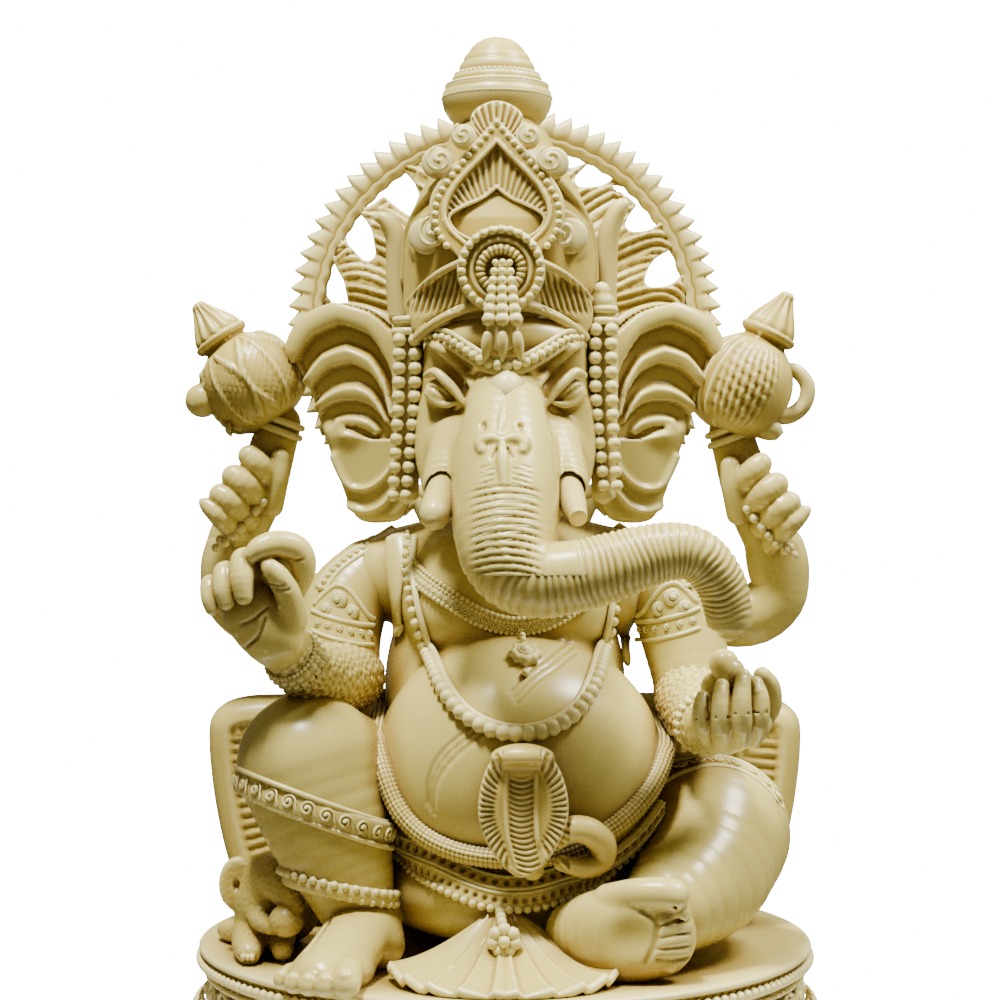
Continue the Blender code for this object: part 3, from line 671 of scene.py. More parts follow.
    def relief(
        self,
        spots: Sequence[Triple],
        sink: float = 0.3,
        soft: float = 0.8,
        carve: bool = False,
        flat: float = 1.0,
        depth: float = -10.0,
    ) -> "Clay":
        """Press a rounded line on the front of the clay, or carve one into it.

        Args:
            spots: X, Z and radius of each station.
            sink: How far its middle lies under the surface, as a share of its radius.
            soft: Width of the rounding where it meets the rest.
            carve: Whether it is taken away.
            flat: Height of the line as a share of its radius.
            depth: A Y inside the clay.
        Returns:
            The block.
        """
        laid = self.front([(x, z) for x, z, _ in spots], depth)
        stations = [(x, y + sink * r, z, r) for (x, y, z), (_, _, r) in zip(laid, spots)]
        return self.limb(stations, soft, flat, carve=carve)

    def skin(self) -> Skin:
        """The surface of the block.

        Returns:
            Its surface.
        """
        grid = openvdb.FloatGrid(FAR)
        grid.copyFromArray(self.field)
        spots, quads = grid.convertToQuads(0.0)
        surface = Skin(self.low + np.array(spots, float) * self.grain, np.array(quads, int))
        corners = surface.places[surface.quads]
        outward = np.einsum("ij,ij->i", corners[:, 0], np.cross(corners[:, 1], corners[:, 2])).sum()
        if outward < 0:
            surface.quads = surface.quads[:, ::-1]
        return surface


# ---------------------------------------------------------------- rows of repeated motifs


class Motif(Enum):
    """Small shapes that are set out along paths. Z is outwards and X runs along the path."""

    BEAD = "bead"
    DISC = "disc"
    SCROLL = "scroll"
    CURL = "curl"
    PETAL = "petal"
    RIB = "rib"
    ROSETTE = "rosette"


def lathe(profile: Sequence[tuple[float, float]], sides: int, wave: float = 0.0, waves: int = 0) -> Skin:
    """A turned shape on Z from (radius, height) pairs, which start and end on the axis.

    Args:
        profile: Radius and height, from the bottom up.
        sides: Points round it.
        wave: Share by which the radius swells and shrinks.
        waves: Number of swells round it.
    Returns:
        The surface.
    """
    angles = np.arange(sides) * 2 * math.pi / sides
    swell = 1 + wave * np.cos(angles * waves)
    inner = [(r, h) for r, h in profile if r > 0]
    places = [
        np.column_stack([np.cos(angles) * swell * r, np.sin(angles) * swell * r, np.full(sides, h)]) for r,
        h in inner
    ]
    poles = np.array([(0, 0, profile[0][1]), (0, 0, profile[-1][1])])
    near, far = np.arange(sides), (np.arange(sides) + 1) % sides
    quads = [
        np.column_stack([near + k * sides, far + k * sides, far + (k + 1) * sides, near + (k + 1) * sides])
        for k in range(len(inner) - 1)
    ]
    top, bottom = len(inner) * sides, (len(inner) - 1) * sides
    tris = np.vstack(
        [
            np.column_stack([far, near, np.full(sides, top)]),
            np.column_stack([near + bottom, far + bottom, np.full(sides, top + 1)])
        ]
    )
    return Skin(np.vstack([*places, poles]), np.vstack(quads) if quads else np.zeros((0, 4), int), tris)


def swept(
    path: np.ndarray,
    radii: np.ndarray | float,
    sides: int = 6,
    closed: bool = False,
    up: Triple | np.ndarray = (0, 0, 1),
    flat: float = 1.0,
) -> Skin:
    """A round or flattened rod along a path.

    Args:
        path: Points.
        radii: A radius for each, or one for all.
        sides: Points round it.
        closed: Whether the path returns to its start.
        up: Direction that flat squeezes, or one for each point.
        flat: Thickness along up, as a share of the radius.
    Returns:
        The surface.
    """
    count = len(path)
    radii = np.broadcast_to(radii, count)
    if closed:
        along = np.roll(path, -1, 0) - np.roll(path, 1, 0)
    else:
        along = np.gradient(path, axis=0)
    along = along / np.maximum(np.linalg.norm(along, axis=1, keepdims=True), TINY)
    across = np.cross(along, np.array(up, float))
    across = across / np.maximum(np.linalg.norm(across, axis=1, keepdims=True), TINY)
    high = np.cross(across, along)
    angles = np.arange(sides) * 2 * math.pi / sides
    ring = across[:, None, :] * np.cos(angles)[None, :, None] + high[:, None, :] * (
        flat * np.sin(angles)
    )[None, :, None]
    places = (path[:, None, :] + ring * radii[:, None, None]).reshape(-1, 3)
    near, far = np.arange(sides), (np.arange(sides) + 1) % sides
    spans = range(count if closed else count - 1)
    quads = np.vstack(
        [
            np.column_stack(
                [
                    near + k * sides, near + (k + 1) % count * sides, far + (k + 1) % count * sides,
                    far + k * sides
                ]
            )
            for k in spans
        ]
    )
    tris = np.zeros((0, 3), int)
    if not closed:
        ends = np.array([path[0] - along[0] * radii[0] * 0.6, path[-1] + along[-1] * radii[-1] * 0.6])
        last = (count - 1) * sides
        tris = np.vstack(
            [
                np.column_stack([near, far, np.full(sides, len(places))]),
                np.column_stack([far + last, near + last, np.full(sides, len(places) + 1)])
            ]
        )
        places = np.vstack([places, ends])
    return Skin(places, quads, tris)


def motif_skin(motif: Motif) -> Skin:
    """The shape of a motif, one unit across.

    Args:
        motif: Which motif.
    Returns:
        The motif's surface.
    """
    if motif is Motif.BEAD:
        return lathe([(0, -0.95), (0.62, -0.72), (0.98, -0.1), (0.9, 0.42), (0.5, 0.86), (0, 1.0)], 8)
    if motif is Motif.DISC:
        return lathe(
            [(0, -0.5), (1.0, -0.4), (1.05, 0.1), (0.8, 0.4), (0.42, 0.2), (0.3, 0.5), (0, 0.62)], 10
        )
    if motif is Motif.ROSETTE:
        return lathe(
            [(0, -0.4), (1.0, -0.3), (1.0, 0.2), (0.7, 0.45), (0.42, 0.24), (0.34, 0.5), (0, 0.66)], 24,
            0.12, 8
        )
    if motif is Motif.RIB:
        path = np.column_stack([np.zeros(7), np.linspace(-1, 1, 7), 0.1 * np.ones(7)])
        return swept(path, 0.3 * np.array([0.5, 0.9, 1, 1, 1, 0.9, 0.5]), 6)
    if motif is Motif.PETAL:
        spread = np.linspace(0, 1, 9)
        width = 0.95 * np.sin(math.pi * np.clip(spread * 0.93 + 0.03, 0, 1)) ** 0.7
        path = np.column_stack([np.zeros(9), spread * 2 - 1, 0.15 + 0.5 * np.sin(math.pi * spread)])
        return swept(path, width + 0.02, 8, up=(0, 0, 1), flat=0.35)
    turns = np.linspace(0, 1, 26)
    angle = 0.4 + turns * 2 * math.pi * 1.45
    radius = 0.85 * (1 - turns) + 0.1
    path = np.column_stack([radius * np.cos(angle), radius * np.sin(angle), 0.1 + 0.16 * turns])
    if motif is Motif.SCROLL:
        path = np.vstack([[(1.5, -0.85, 0.02), (1.2, -0.35, 0.06), (0.98, 0.0, 0.1)], path])
    return swept(path, np.linspace(0.12, 0.26, len(path)), 6)


def row_tree() -> bpy.types.NodeTree:
    """The Geometry Nodes tree that sets a motif out along a path, made once.

    Returns:
        The tree. Its inputs are Motif, Count, Finish, and the path's own "out" and "size" attributes.
    """
    name = "set_out_along_path"
    tree = bpy.data.node_groups.get(name)
    if tree:
        return tree
    tree = bpy.data.node_groups.new(name, "GeometryNodeTree")
    tree.interface.new_socket("Path", in_out="INPUT", socket_type="NodeSocketGeometry")
    tree.interface.new_socket("Motif", in_out="INPUT", socket_type="NodeSocketObject")
    tree.interface.new_socket("Count", in_out="INPUT", socket_type="NodeSocketInt")
    tree.interface.new_socket("Finish", in_out="INPUT", socket_type="NodeSocketMaterial")
    tree.interface.new_socket("Row", in_out="OUTPUT", socket_type="NodeSocketGeometry")
    given = put(tree, "NodeGroupInput").outputs
    curve = put(tree, "GeometryNodeMeshToCurve", Mesh=given["Path"])
    even = put(tree, "GeometryNodeResampleCurve", Curve=curve.outputs[0], Count=given["Count"])
    out = put(tree, "GeometryNodeInputNamedAttribute", {"data_type": "FLOAT_VECTOR"}, Name="out")
    size = put(tree, "GeometryNodeInputNamedAttribute", {"data_type": "FLOAT"}, Name="size")
    along = put(tree, "GeometryNodeInputTangent")
    turn = put(tree, "FunctionNodeAxesToRotation", {"primary_axis": "Z", "secondary_axis": "X"})
    tree.links.new(out.outputs["Attribute"], turn.inputs[0])
    tree.links.new(along.outputs[0], turn.inputs[1])
    shape = put(tree, "GeometryNodeObjectInfo", Object=given["Motif"])
    set_out = put(
        tree,
        "GeometryNodeInstanceOnPoints",
        Points=even.outputs[0],
        Instance=shape.outputs["Geometry"],
        Rotation=turn.outputs[0],
    )
    tree.links.new(size.outputs["Attribute"], set_out.inputs["Scale"])
    real = put(tree, "GeometryNodeRealizeInstances", Geometry=set_out.outputs[0])
    dressed = put(tree, "GeometryNodeSetMaterial", Geometry=real.outputs[0], Material=given["Finish"])
    put(tree, "NodeGroupOutput", Row=dressed.outputs[0])
    return tree


def plain_mesh(name: str, skin: Skin, edges: Sequence[tuple[int, int]] = ()) -> bpy.types.Object:
    """An object with the surface's millimetre places, for use as a motif or a path.

    Args:
        name: The piece's name.
        skin: Its surface.
        edges: Pairs of corners that an edge joins.
    Returns:
        The mesh.
    """
    mesh = bpy.data.meshes.new(name)
    mesh.from_pydata(skin.places.tolist(), edges, skin.quads.tolist() + skin.tris.tolist())
    made = bpy.data.objects.new(name, mesh)
    bpy.context.scene.collection.objects.link(made)
    return made


def row(
    motif: Motif,
    path: np.ndarray,
    out: np.ndarray,
    size: float | np.ndarray,
    count: int,
    finish: Finish = Finish.CARVED,
    closed: bool = False,
) -> Skin:
    """Set a motif out along a path with the Geometry Nodes tree.

    Args:
        motif: The repeated shape.
        path: Points in millimetres.
        out: Outward direction at each point, or one for all.
        size: Scale of the motif in millimetres, or one for each point.
        count: Number of repeats.
        finish: Finish that the tree sets.
        closed: Whether the path returns to its start.
    Returns:
        The repeats as one surface.
    """
    total = len(path)
    links = [(i, i + 1) for i in range(total - 1)] + ([(total - 1, 0)] if closed else [])
    host = plain_mesh("row_path", Skin(path, np.zeros((0, 4), int)), links)
    facing = host.data.attributes.new("out", "FLOAT_VECTOR", "POINT")
    facing.data.foreach_set("vector", np.broadcast_to(out, path.shape).astype(np.float32).ravel())
    scale = host.data.attributes.new("size", "FLOAT", "POINT")
    scale.data.foreach_set("value", np.broadcast_to(size, total).astype(np.float32))
    name = "motif_" + motif.value
    shape = bpy.data.objects.get(name) or plain_mesh(name, motif_skin(motif))
    step = host.modifiers.new("row", "NODES")
    step.node_group = row_tree()
    sockets = {item.name: item.identifier for item in step.node_group.interface.items_tree}
    step[sockets["Motif"]] = shape
    step[sockets["Count"]] = count
    step[sockets["Finish"]] = finish.value[1].material()
    mesh = bpy.data.meshes.new_from_object(host.evaluated_get(bpy.context.evaluated_depsgraph_get()))
    host.modifiers.clear()
    places = np.empty(len(mesh.vertices) * 3)
    mesh.vertices.foreach_get("co", places)
    starts = np.empty(len(mesh.polygons), int)
    totals = np.empty(len(mesh.polygons), int)
    corners = np.empty(len(mesh.loops), int)
    mesh.polygons.foreach_get("loop_start", starts)
    mesh.polygons.foreach_get("loop_total", totals)
    mesh.loops.foreach_get("vertex_index", corners)
    quads = corners[starts[totals == 4][:, None] + np.arange(4)]
    tris = corners[starts[totals == 3][:, None] + np.arange(3)]
    spare = host.data
    bpy.data.objects.remove(host)
    bpy.data.meshes.remove(spare)
    bpy.data.meshes.remove(mesh)
    return Skin(places.reshape(-1, 3), quads.reshape(-1, 4), tris.reshape(-1, 3))


def spaced(path: np.ndarray, size: Callable[[float], float]) -> tuple[np.ndarray, np.ndarray]:
    """Places along a path where beads of changing size touch.

    Args:
        path: Points in millimetres.
        size: Bead radius for a share of the length from 0 to 1.
    Returns:
        The places and the radius at each.
    """
    lengths = np.concatenate([[0], np.cumsum(np.linalg.norm(np.diff(path, axis=0), axis=1))])
    at, marks = 0.0, []
    while at < lengths[-1]:
        marks.append(at)
        at += 2 * size(at / lengths[-1])
    places = np.column_stack([np.interp(marks, lengths, path[:, axis]) for axis in range(3)])
    return places, np.array([size(mark / lengths[-1]) for mark in marks])


def evened(path: np.ndarray, step: float) -> np.ndarray:
    """The path with points at even steps of about the given length.

    Args:
        path: Points of the line.
        step: Distance between points.
    Returns:
        Evenly spaced points.
    """
    lengths = np.concatenate([[0], np.cumsum(np.linalg.norm(np.diff(path, axis=0), axis=1))])
    marks = np.linspace(0, lengths[-1], max(int(lengths[-1] / step), 2) + 1)
    return np.column_stack([np.interp(marks, lengths, path[:, axis]) for axis in range(path.shape[1])])


def smoothed(path: np.ndarray, rounds: int = 3) -> np.ndarray:
    """The path with its small steps averaged out and its ends kept.

    Args:
        path: Points of the line.
        rounds: How often neighbours are averaged.
    Returns:
        The smoothed points.
    """
    for _ in range(rounds):
        path = np.vstack([path[:1], (path[:-2] + 2 * path[1:-1] + path[2:]) / 4, path[-1:]])
    return path


def discard_motifs() -> None:
    """Remove the motif objects once every row is made."""
    for motif in Motif:
        made = bpy.data.objects.get("motif_" + motif.value)
        if made:
            bpy.data.objects.remove(made)


def length_of(path: np.ndarray, closed: bool = False) -> float:
    """Length of a run of points."""
    total = float(np.linalg.norm(np.diff(path, axis=0), axis=1).sum())
    return total + (float(np.linalg.norm(path[0] - path[-1])) if closed else 0.0)


def nearest_on(path: np.ndarray, places: np.ndarray) -> tuple[np.ndarray, np.ndarray]:
    """Distance along a path to the point nearest each place, and the distance from it.

    Args:
        path: Points of the line.
        places: Points to measure from.
    Returns:
        Length along the line, and distance from it, for each point.
    """
    lengths = np.concatenate([[0], np.cumsum(np.linalg.norm(np.diff(path, axis=0), axis=1))])
    best = np.full(len(places), NEVER)
    along = np.zeros(len(places))
    for i, (a, b) in enumerate(zip(path, path[1:])):
        edge = b - a
        size = max(float(edge @ edge), NO_LENGTH)
        t = np.clip((places - a) @ edge / size, 0, 1)
        gap = np.linalg.norm(places - a - t[:, None] * edge, axis=1)
        closer = gap < best
        best = np.where(closer, gap, best)
        along = np.where(closer, lengths[i] + t * math.sqrt(size), along)
    return along, best


# ---------------------------------------------------------------- shared shaping


def sided(side: int, stations: Iterable[Sequence[float]]) -> list[tuple[float, ...]]:
    """Stations drawn for the figure's left, on its left (side 1) or on its right (side -1)."""
    return [(side * s[0], *s[1:]) for s in stations]


def flipped(stations: Sequence[Sequence[float]]) -> list[tuple[float, ...]]:
    """The same stations on the other side of the figure."""
    return sided(-1, stations)


def grooves(along: np.ndarray, pitch: float, sharp: float = 6.0) -> np.ndarray:
    """Share of the depth of evenly spaced narrow grooves: 1 in each groove and 0 between them."""
    return np.abs(np.cos(math.pi * along / pitch)) ** sharp


def ease(value: np.ndarray, start: float, end: float) -> np.ndarray:
    """Rises smoothly from 0 at start to 1 at end."""
    share = np.clip((value - start) / (end - start), 0, 1)
    return share * share * (3 - 2 * share)


def dotted(skin: Skin, path: np.ndarray, pitch: float, radius: float, depth: float) -> Skin:
    """Press a row of round pits into a surface along a path.

    Args:
        skin: The surface.
        path: The row's path.
        pitch: Distance between pits.
        radius: Size of a pit.
        depth: How deep it goes.
    Returns:
        The pitted surface.
    """
    along, away = nearest_on(path, skin.places)
    offset = (along + pitch / 2) % pitch - pitch / 2
    return skin.pushed(-depth * np.exp(-((offset / radius) ** 2 + (away / radius) ** 2)))


def crossed(first: np.ndarray, second: np.ndarray) -> np.ndarray:
    """Unit directions square to both."""
    square = np.cross(first, second)
    return square / np.maximum(np.linalg.norm(square, axis=1, keepdims=True), TINY)


@dataclass
class Assembly:
    """A group of castings of the idol, placed where the frame has them."""

    finish: Finish = Finish.POLISHED

    def seat(self, node: str, drawn_at: Triple) -> np.ndarray:
        """Shift from where a casting is drawn to where the frame has its node.

        Args:
            node: The CAD node.
            drawn_at: Centre of its box where it is drawn.
        Returns:
            The shift in millimetres, of 0.1 mm steps.
        """
        return np.round(centre_of(node) - np.array(drawn_at), 1)

    def emit(
        self, name: str, node: str, skin: Skin, drawn_at: Triple | None = None, most: int = 50_000
    ) -> None:
        """Make the visible piece of one node from its surface.

        Args:
            name: The piece's name.
            node: The CAD node that it replaces.
            skin: Its surface.
            drawn_at: Centre of its box where it is drawn, or None where it is already in place.
            most: Triangles that it may have.
        """
        shift = self.seat(node, drawn_at) if drawn_at else np.zeros(3)
        finished(name, [node], skin.moved(shift), self.finish, most)


@dataclass
class Pedestal(Assembly):
    """Turned pedestal with a bead rim, a carved frieze and a lotus plinth."""

    finish: Finish = Finish.PEDESTAL
    rim: float = 91.0
    top: float = PEDESTAL_TOP
    sides: int = 288

    def build(self) -> None:
        """Make the pedestal and the felt under it."""
        top, rim = self.top, self.rim
        profile = [
            (0, 1.2), (95.4, 1.2), (97, 2.6), (97, 6), (95.6, 8.2), (93.4, 9.6), (93.0, 12.4),
            (90.4, 14.6), (87.6, 16.4), (86.6, 18.5), (86.4, 28.5), (87.4, 30.4), (89.6, 31.6),
            (89.8, 35.6), (90.9, 36.3),
            (rim, top - 1.0), (rim - 0.5, top - 0.3), (rim - 1.6, top), (rim - 8, top), (0, top),
        ]
        skin = lathe(profile, self.sides)
        skin = joined([skin, self.ring(Motif.BEAD, rim - 0.6, top - 4.4, 1.5, 182)])
        skin = joined([skin, self.ring(Motif.BEAD, 93.6, 11.0, 1.3, 220)])
        skin = joined(
            [
                skin, self.ring(Motif.SCROLL, 87.4, 24.2, 4.6, 44),
                self.ring(Motif.ROSETTE, 87.2, 24.6, 2.4, 44, 0.5)
            ]
        )
        skin = joined(
            [skin, self.ring(Motif.PETAL, 90.6, 19.0, 2.6, 96), self.ring(Motif.BEAD, 88.6, 29.6, 0.8, 300)]
        )
        skin = joined([skin, self.ring(Motif.RIB, 97.0, 4.6, 2.4, 180)])
        self.emit("carved_round_pedestal", "pedestal", skin, most=130_000)
        _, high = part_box("base_felt")
        thick = high[2] / MM
        felt = lathe([(0, 0), (87.4, 0), (88, thick * 0.4), (87.7, thick), (0, thick)], 96)
        finished("felt_underside", ["base_felt"], felt, Finish.FELT)

    def ring(
        self, motif: Motif, radius: float, height: float, size: float, count: int, offset: float = 0.0
    ) -> Skin:
        """A level ring of a motif that faces outwards.

        Args:
            motif: The repeated shape.
            radius: Radius of the ring.
            height: Z of the ring.
            size: Scale of the motif.
            count: Number of repeats.
            offset: Share of a repeat by which the ring is turned.
        Returns:
            The ring's surface.
        """
        angles = (np.arange(720) / 720 + offset / count) * 2 * math.pi
        out = np.column_stack([np.cos(angles), np.sin(angles), np.zeros(len(angles))])
        path = out * radius + np.array((0, 0, height))
        return row(motif, path, out, size, count, self.finish, closed=True)


@dataclass
class Cushion(Assembly):
    """Wide back cushion with a smooth border and pleats that run in from it."""

    finish: Finish = Finish.CARVED
    border: float = 7.0
    pitch: float = 3.5

    def build(self) -> None:
        """Make the cushion."""
        half = [
            (0, 108.5), (40, 108.6), (66, 108.2), (82, 107.2), (89.6, 102.4), (90.8, 93), (89.0, 76),
            (85.6, 60)
        ]
        half += [(81.4, 49), (75, 42.6), (66, 38.8), (0, 38.6)]
        outline = evened(through([*half, *flipped(half[1:-1][::-1])], 4, closed=True), 2.5)
        clay = Clay((-96, 2, 34), (96, 34, 114), 0.9)
        clay.plate(outline, lambda x, z: 18 + 0 * x, 10.5, 0, edge=9.0, depth=(3, 33))
        skin = clay.skin()
        loop = np.vstack([outline, outline[:1]])
        flat_loop = np.column_stack([loop[:, 0], np.zeros(len(loop)), loop[:, 1]])
        along, away = nearest_on(flat_loop, skin.places * np.array((1, 0, 1)))
        pleats = ease(away, self.border, self.border + 1.5) * (1 - ease(away, 16, 24))
        facing = np.abs(skin.normals()[:, 1])
        sunk = -0.8 * ease(
            away, self.border - 1, self.border + 1
        ) - 0.9 * pleats * grooves(along, self.pitch, 1.6)
        self.emit("pleated_back_cushion", "back_cushion", skin.pushed(sunk * facing), (0, 18, 75), 60_000)


@dataclass
class Torso(Assembly):
    """Belly, chest, shoulders and seat as one casting. The ornaments are laid on its surface."""

    clay: Clay | None = None

    def shape(self) -> None:
        """Model the torso in clay."""
        clay = Clay((-54, -74, 30), (54, 36, 172), 0.75)
        clay.ball((4, -26, 92), (41.5, 36, 37.5), 0)
        clay.ball((0, -1, 112), (36, 27, 45), 6).ball((0, -4, 62), (45, 28, 27), 6)
        clay.ball((0, -20, 57), (39, 34, 17), 5)
        clay.ball((1, -6, 141), (33.5, 26, 22.5), 3.2)
        for side in (-1, 1):
            clay.ball((1 + side * 13.5, -16, 136.5), (17, 15.8, 15.5), 3.5)
            clay.limb([(side * 43, 2, 142, 11.5), (side * 31, 2, 146.5, 13.4), (0, 4, 151, 15)], 6)
        clay.ball((0, 12, 150), (25, 15, 17), 6)
        clay.ball((5, -64, 86), (3, 4, 2.6), 2.5, carve=True)
        self.clay = clay

    def build(self) -> None:
        """Make the torso, with the incised lines of the belly."""
        skin = self.clay.skin()
        amount = np.zeros(len(skin.places))
        upper = [(19, 126), (14, 123), (8, 119.4), (2.5, 114)]
        lower = [(-5, 107), (-10, 103.4), (-17, 97), (-20.4, 90), (-20.6, 83)]
        for stations in (upper, lower):
            for step in (-1.7, 0.0, 1.7):
                laid = self.laid([(x + 0.5 * step, z - 0.85 * step) for x, z in stations], 0.0)[0]
                _, away = nearest_on(laid, skin.places)
                amount -= 0.5 * np.exp(-((away / 0.6) ** 2))
        self.emit("seated_torso", "torso", skin.pushed(amount), most=110_000)

    def laid(
        self, spots: Sequence[tuple[float, float]], proud: float, steps: int = 8, straight: bool = False
    ) -> tuple[np.ndarray, np.ndarray]:
        """Lay a path on the torso's front.

        Args:
            spots: X, Z spots that it runs through.
            proud: How far it stands out from the surface.
            steps: Points between spots.
            straight: Whether the spots are joined as they are.
        Returns:
            The path, and the outward direction at each point.
        """
        spread = np.array(spots, float) if straight else through(spots, steps)
        laid = smoothed(self.clay.front([tuple(s) for s in spread]), 4)
        out = self.outward(laid)
        return laid + out * proud, out

    def outward(self, places: np.ndarray) -> np.ndarray:
        """Outward direction of the clay near each place.

        Args:
            places: Points to measure from.
        Returns:
            A unit direction for each point.
        """
        cell = np.clip(
            ((places - self.clay.low) / self.clay.grain).round().astype(int), 2,
            np.array(self.clay.shape) - 3
        )
        slopes = []
        for axis in range(3):
            shift = np.eye(3, dtype=int)[axis] * 2
            ahead, behind = (cell + shift).T, (cell - shift).T
            slopes.append(self.clay.field[tuple(ahead)] - self.clay.field[tuple(behind)])
        out = np.column_stack(slopes)
        out = out / np.maximum(np.linalg.norm(out, axis=1, keepdims=True), TINY)
        out = smoothed(out, 6)
        return out / np.linalg.norm(out, axis=1, keepdims=True)


@dataclass
class Head(Assembly):
    """Head with brows, half-closed eyes, cheeks, tusk sleeves and the root of the trunk."""

    trunk_run: tuple[Station, ...] = (
        (0, -33, 206, 7.0), (0, -38, 199, 10.0), (0, -44, 190, 12.6), (0, -51, 180, 14.2),
        (0, -57, 170, 14.8), (0, -62, 160, 14.2), (2, -66, 151, 12.8), (9, -69, 146.6, 10.6),
        (19, -70, 147.5, 9.8), (30, -70, 150.5, 9.3), (42, -69, 154.0, 8.2), (51.0, -68, 153.5, 7.4),
        (57.5, -66, 147, 7.0), (60.4, -64, 138, 6.6), (60.8, -62.5, 131.0, 5.6),
    )
    grain: float = 0.5

    def build(self) -> None:
        """Make the head casting and the trunk casting."""
        clay = Clay((-33, -82, 148), (33, 14, 226), self.grain)
        clay.ball((0, -13, 199), (25, 24, 23), 0).ball((0, -20, 184), (22.5, 21, 25), 5)
        clay.ball((0, -18, 165), (16, 17, 13), 5)
        face = through(
            [(0, 221), (13, 219), (22.5, 213), (24.2, 203), (24.4, 190), (22.6, 178), (17, 168), (0, 160)],
            4
        )
        outline = np.vstack([face, face[1:-1][::-1] * np.array((-1, 1))])
        clay.plate(
            outline,
            lambda x, z: -24 - 0.06 * (200 - z) + 0.012 * x * x,
            13.5,
            3.0,
            edge=5.0,
            depth=(-60, 5),
        )
        clay.ball((0, -31, 213), (21, 12, 9), 5)
        clay.limb(self.trunk_run[:9], 4.5)
        for side in (-1, 1):
            self.model_side(clay, side)
        self.model_marks(clay)
        skin = clay.skin()
        self.emit("head_casting", "head", self.wrinkled_root(skin), (0, -19.0, 183.2), 150_000)
        self.emit("trunk_casting", "trunk", self.trunk(), (26.8, -54, 165.6), 70_000)

    def model_side(self, clay: Clay, side: int) -> None:
        """Brow, eye, cheek and tusk sleeve of one side; side is -1 or 1.

        Args:
            clay: The clay it lies on.
            side: 1 for the figure's left, -1 for its right.
        """
        socket = spin(y=-side * 30)
        clay.ball((side * 17.6, -43.5, 200.0), (6.4, 7.0, 9.4), 2.0, socket, carve=True)
        clay.ball((side * 15.8, -45.5, 191.5), (4.2, 5.4, 4.4), 3.4, carve=True)
        clay.ball((side * 18.2, -34.0, 198.2), (5.0, 4.4, 4.2), 1.2, socket)
        clay.relief(
            sided(
                side,
                [(23.4, 211.4, 1.0), (20, 211.8, 1.4), (15.2, 208, 1.6), (11.6, 204, 1.5), (9.4, 200.4, 0.9)]
            ),
            0.1, 1.0
        )
        lid = sided(
            side,
            [
                (22.6, -34, 203.4, 0.9), (20, -37.2, 204.2, 1.35), (16.7, -39.4, 201.4, 1.5),
                (13.8, -40.4, 198.2, 1.35)
            ]
        )
        clay.limb([*lid, *sided(side, [(11.8, -41.4, 195.2, 0.8)])], 0.9)
        clay.limb(
            sided(
                side,
                [
                    (22.4, -35.5, 198.2, 0.7), (20, -37, 195.8, 0.9), (17, -38, 194.9, 1.0),
                    (13.6, -39.5, 195.4, 0.6)
                ]
            ),
            1.0
        )
        clay.relief(
            sided(side, [(21.6, 200.4, 0.35), (19.4, 199.2, 0.45), (16.6, 197.2, 0.35)]), 0.2, 0.3,
            carve=True
        )
        clay.limb(sided(side, [(19.5, -26, 192, 6.0), (19.2, -29, 182, 6.6), (18, -32, 173, 6.0)]), 4)
        clay.limb(
            sided(side, [(13.5, -36, 184, 8), (15.6, -43.5, 176.5, 6.9), (16.9, -47.4, 172.4, 6.3)]), 3.2
        )
        axis = np.array((side * 0.16, -0.83, -0.53))
        axis /= np.linalg.norm(axis)
        start = np.array((side * 15.9, -44.6, 174.6))
        clay.limb([(*(start + axis * t), 5.2) for t in (3.0, 9.0)], 0.5, carve=True)
        for back, radius in ((-4.8, 6.9), (-2.4, 6.7), (0.0, 6.3), (2.4, 5.7)):
            centre = start + axis * (back + 1.6)
            sideways = np.cross(axis, (0, 0, 1.0))
            sideways /= np.linalg.norm(sideways)
            up = np.cross(sideways, axis)
            turns = np.linspace(0, 2 * math.pi, 25)
            ring = [(*(centre + radius * (math.cos(a) * sideways + math.sin(a) * up)), 0.85) for a in turns]
            clay.limb(ring, 0.7, steps=1)

    def model_marks(self, clay: Clay) -> None:
        """The raised marks down the middle of the forehead and the trunk.

        Args:
            clay: The clay it lies on.
        """
        clay.relief([(-0.5, 193.5, 0.5), (-1.0, 190, 0.7), (-1.4, 186.8, 0.4)], 0.3, 0.5)
        for x, z in ((-6.0, 188.6), (4.2, 188.2)):
            clay.relief([(x, z, 0.9), (x + 0.3, z - 1.2, 0.6)], 0.2, 0.8, carve=True)
        for side in (-1, 1):
            lobe = [
                (-0.9 + side * x, z, r) for x, z,
                r in ((0.6, 184.2, 1.0), (3.2, 184.6, 1.7), (5.6, 183.4, 1.9), (5.4, 181.4, 1.4))
            ]
            clay.relief(lobe, 0.2, 0.6)
            clay.relief(
                [(-0.9 + side * 1.2, 181.8, 0.7), (-0.9 + side * 2.6, 179.6, 0.5)], 0.2, 0.6, carve=True
            )
        clay.relief(
            [(-0.9, 183.5, 0.8), (-0.8, 180.0, 1.5), (-0.7, 176.4, 1.4), (-0.5, 172.0, 0.6)], 0.15, 0.5
        )

    def wrinkled_root(self, skin: Skin) -> Skin:
        """Wrinkles across the front of the trunk's root.

        Args:
            skin: Its surface.
        Returns:
            The wrinkled surface.
        """
        x, y, z = skin.places.T
        front = ease(-skin.normals()[:, 1], 0.35, 0.75) * ease(-y, 48, 56)
        full = ease(-z, -172.4, -171.4) * (1 - ease(np.abs(x), 6.5, 11))
        beside = ease(-z, -178.0, -176.6) * (1 - full) * ease(np.abs(x + 0.7), 2.0, 3.0) * (
            1 - ease(np.abs(x), 5.5, 8.0)
        )
        level = z + 0.02 * x * x
        depth = full * grooves(level + 0.3, 2.05, 8) * 0.6 + beside * grooves(
            level + 0.12 * np.abs(x), 1.45, 6
        ) * 0.4
        return skin.pushed(-front * depth)

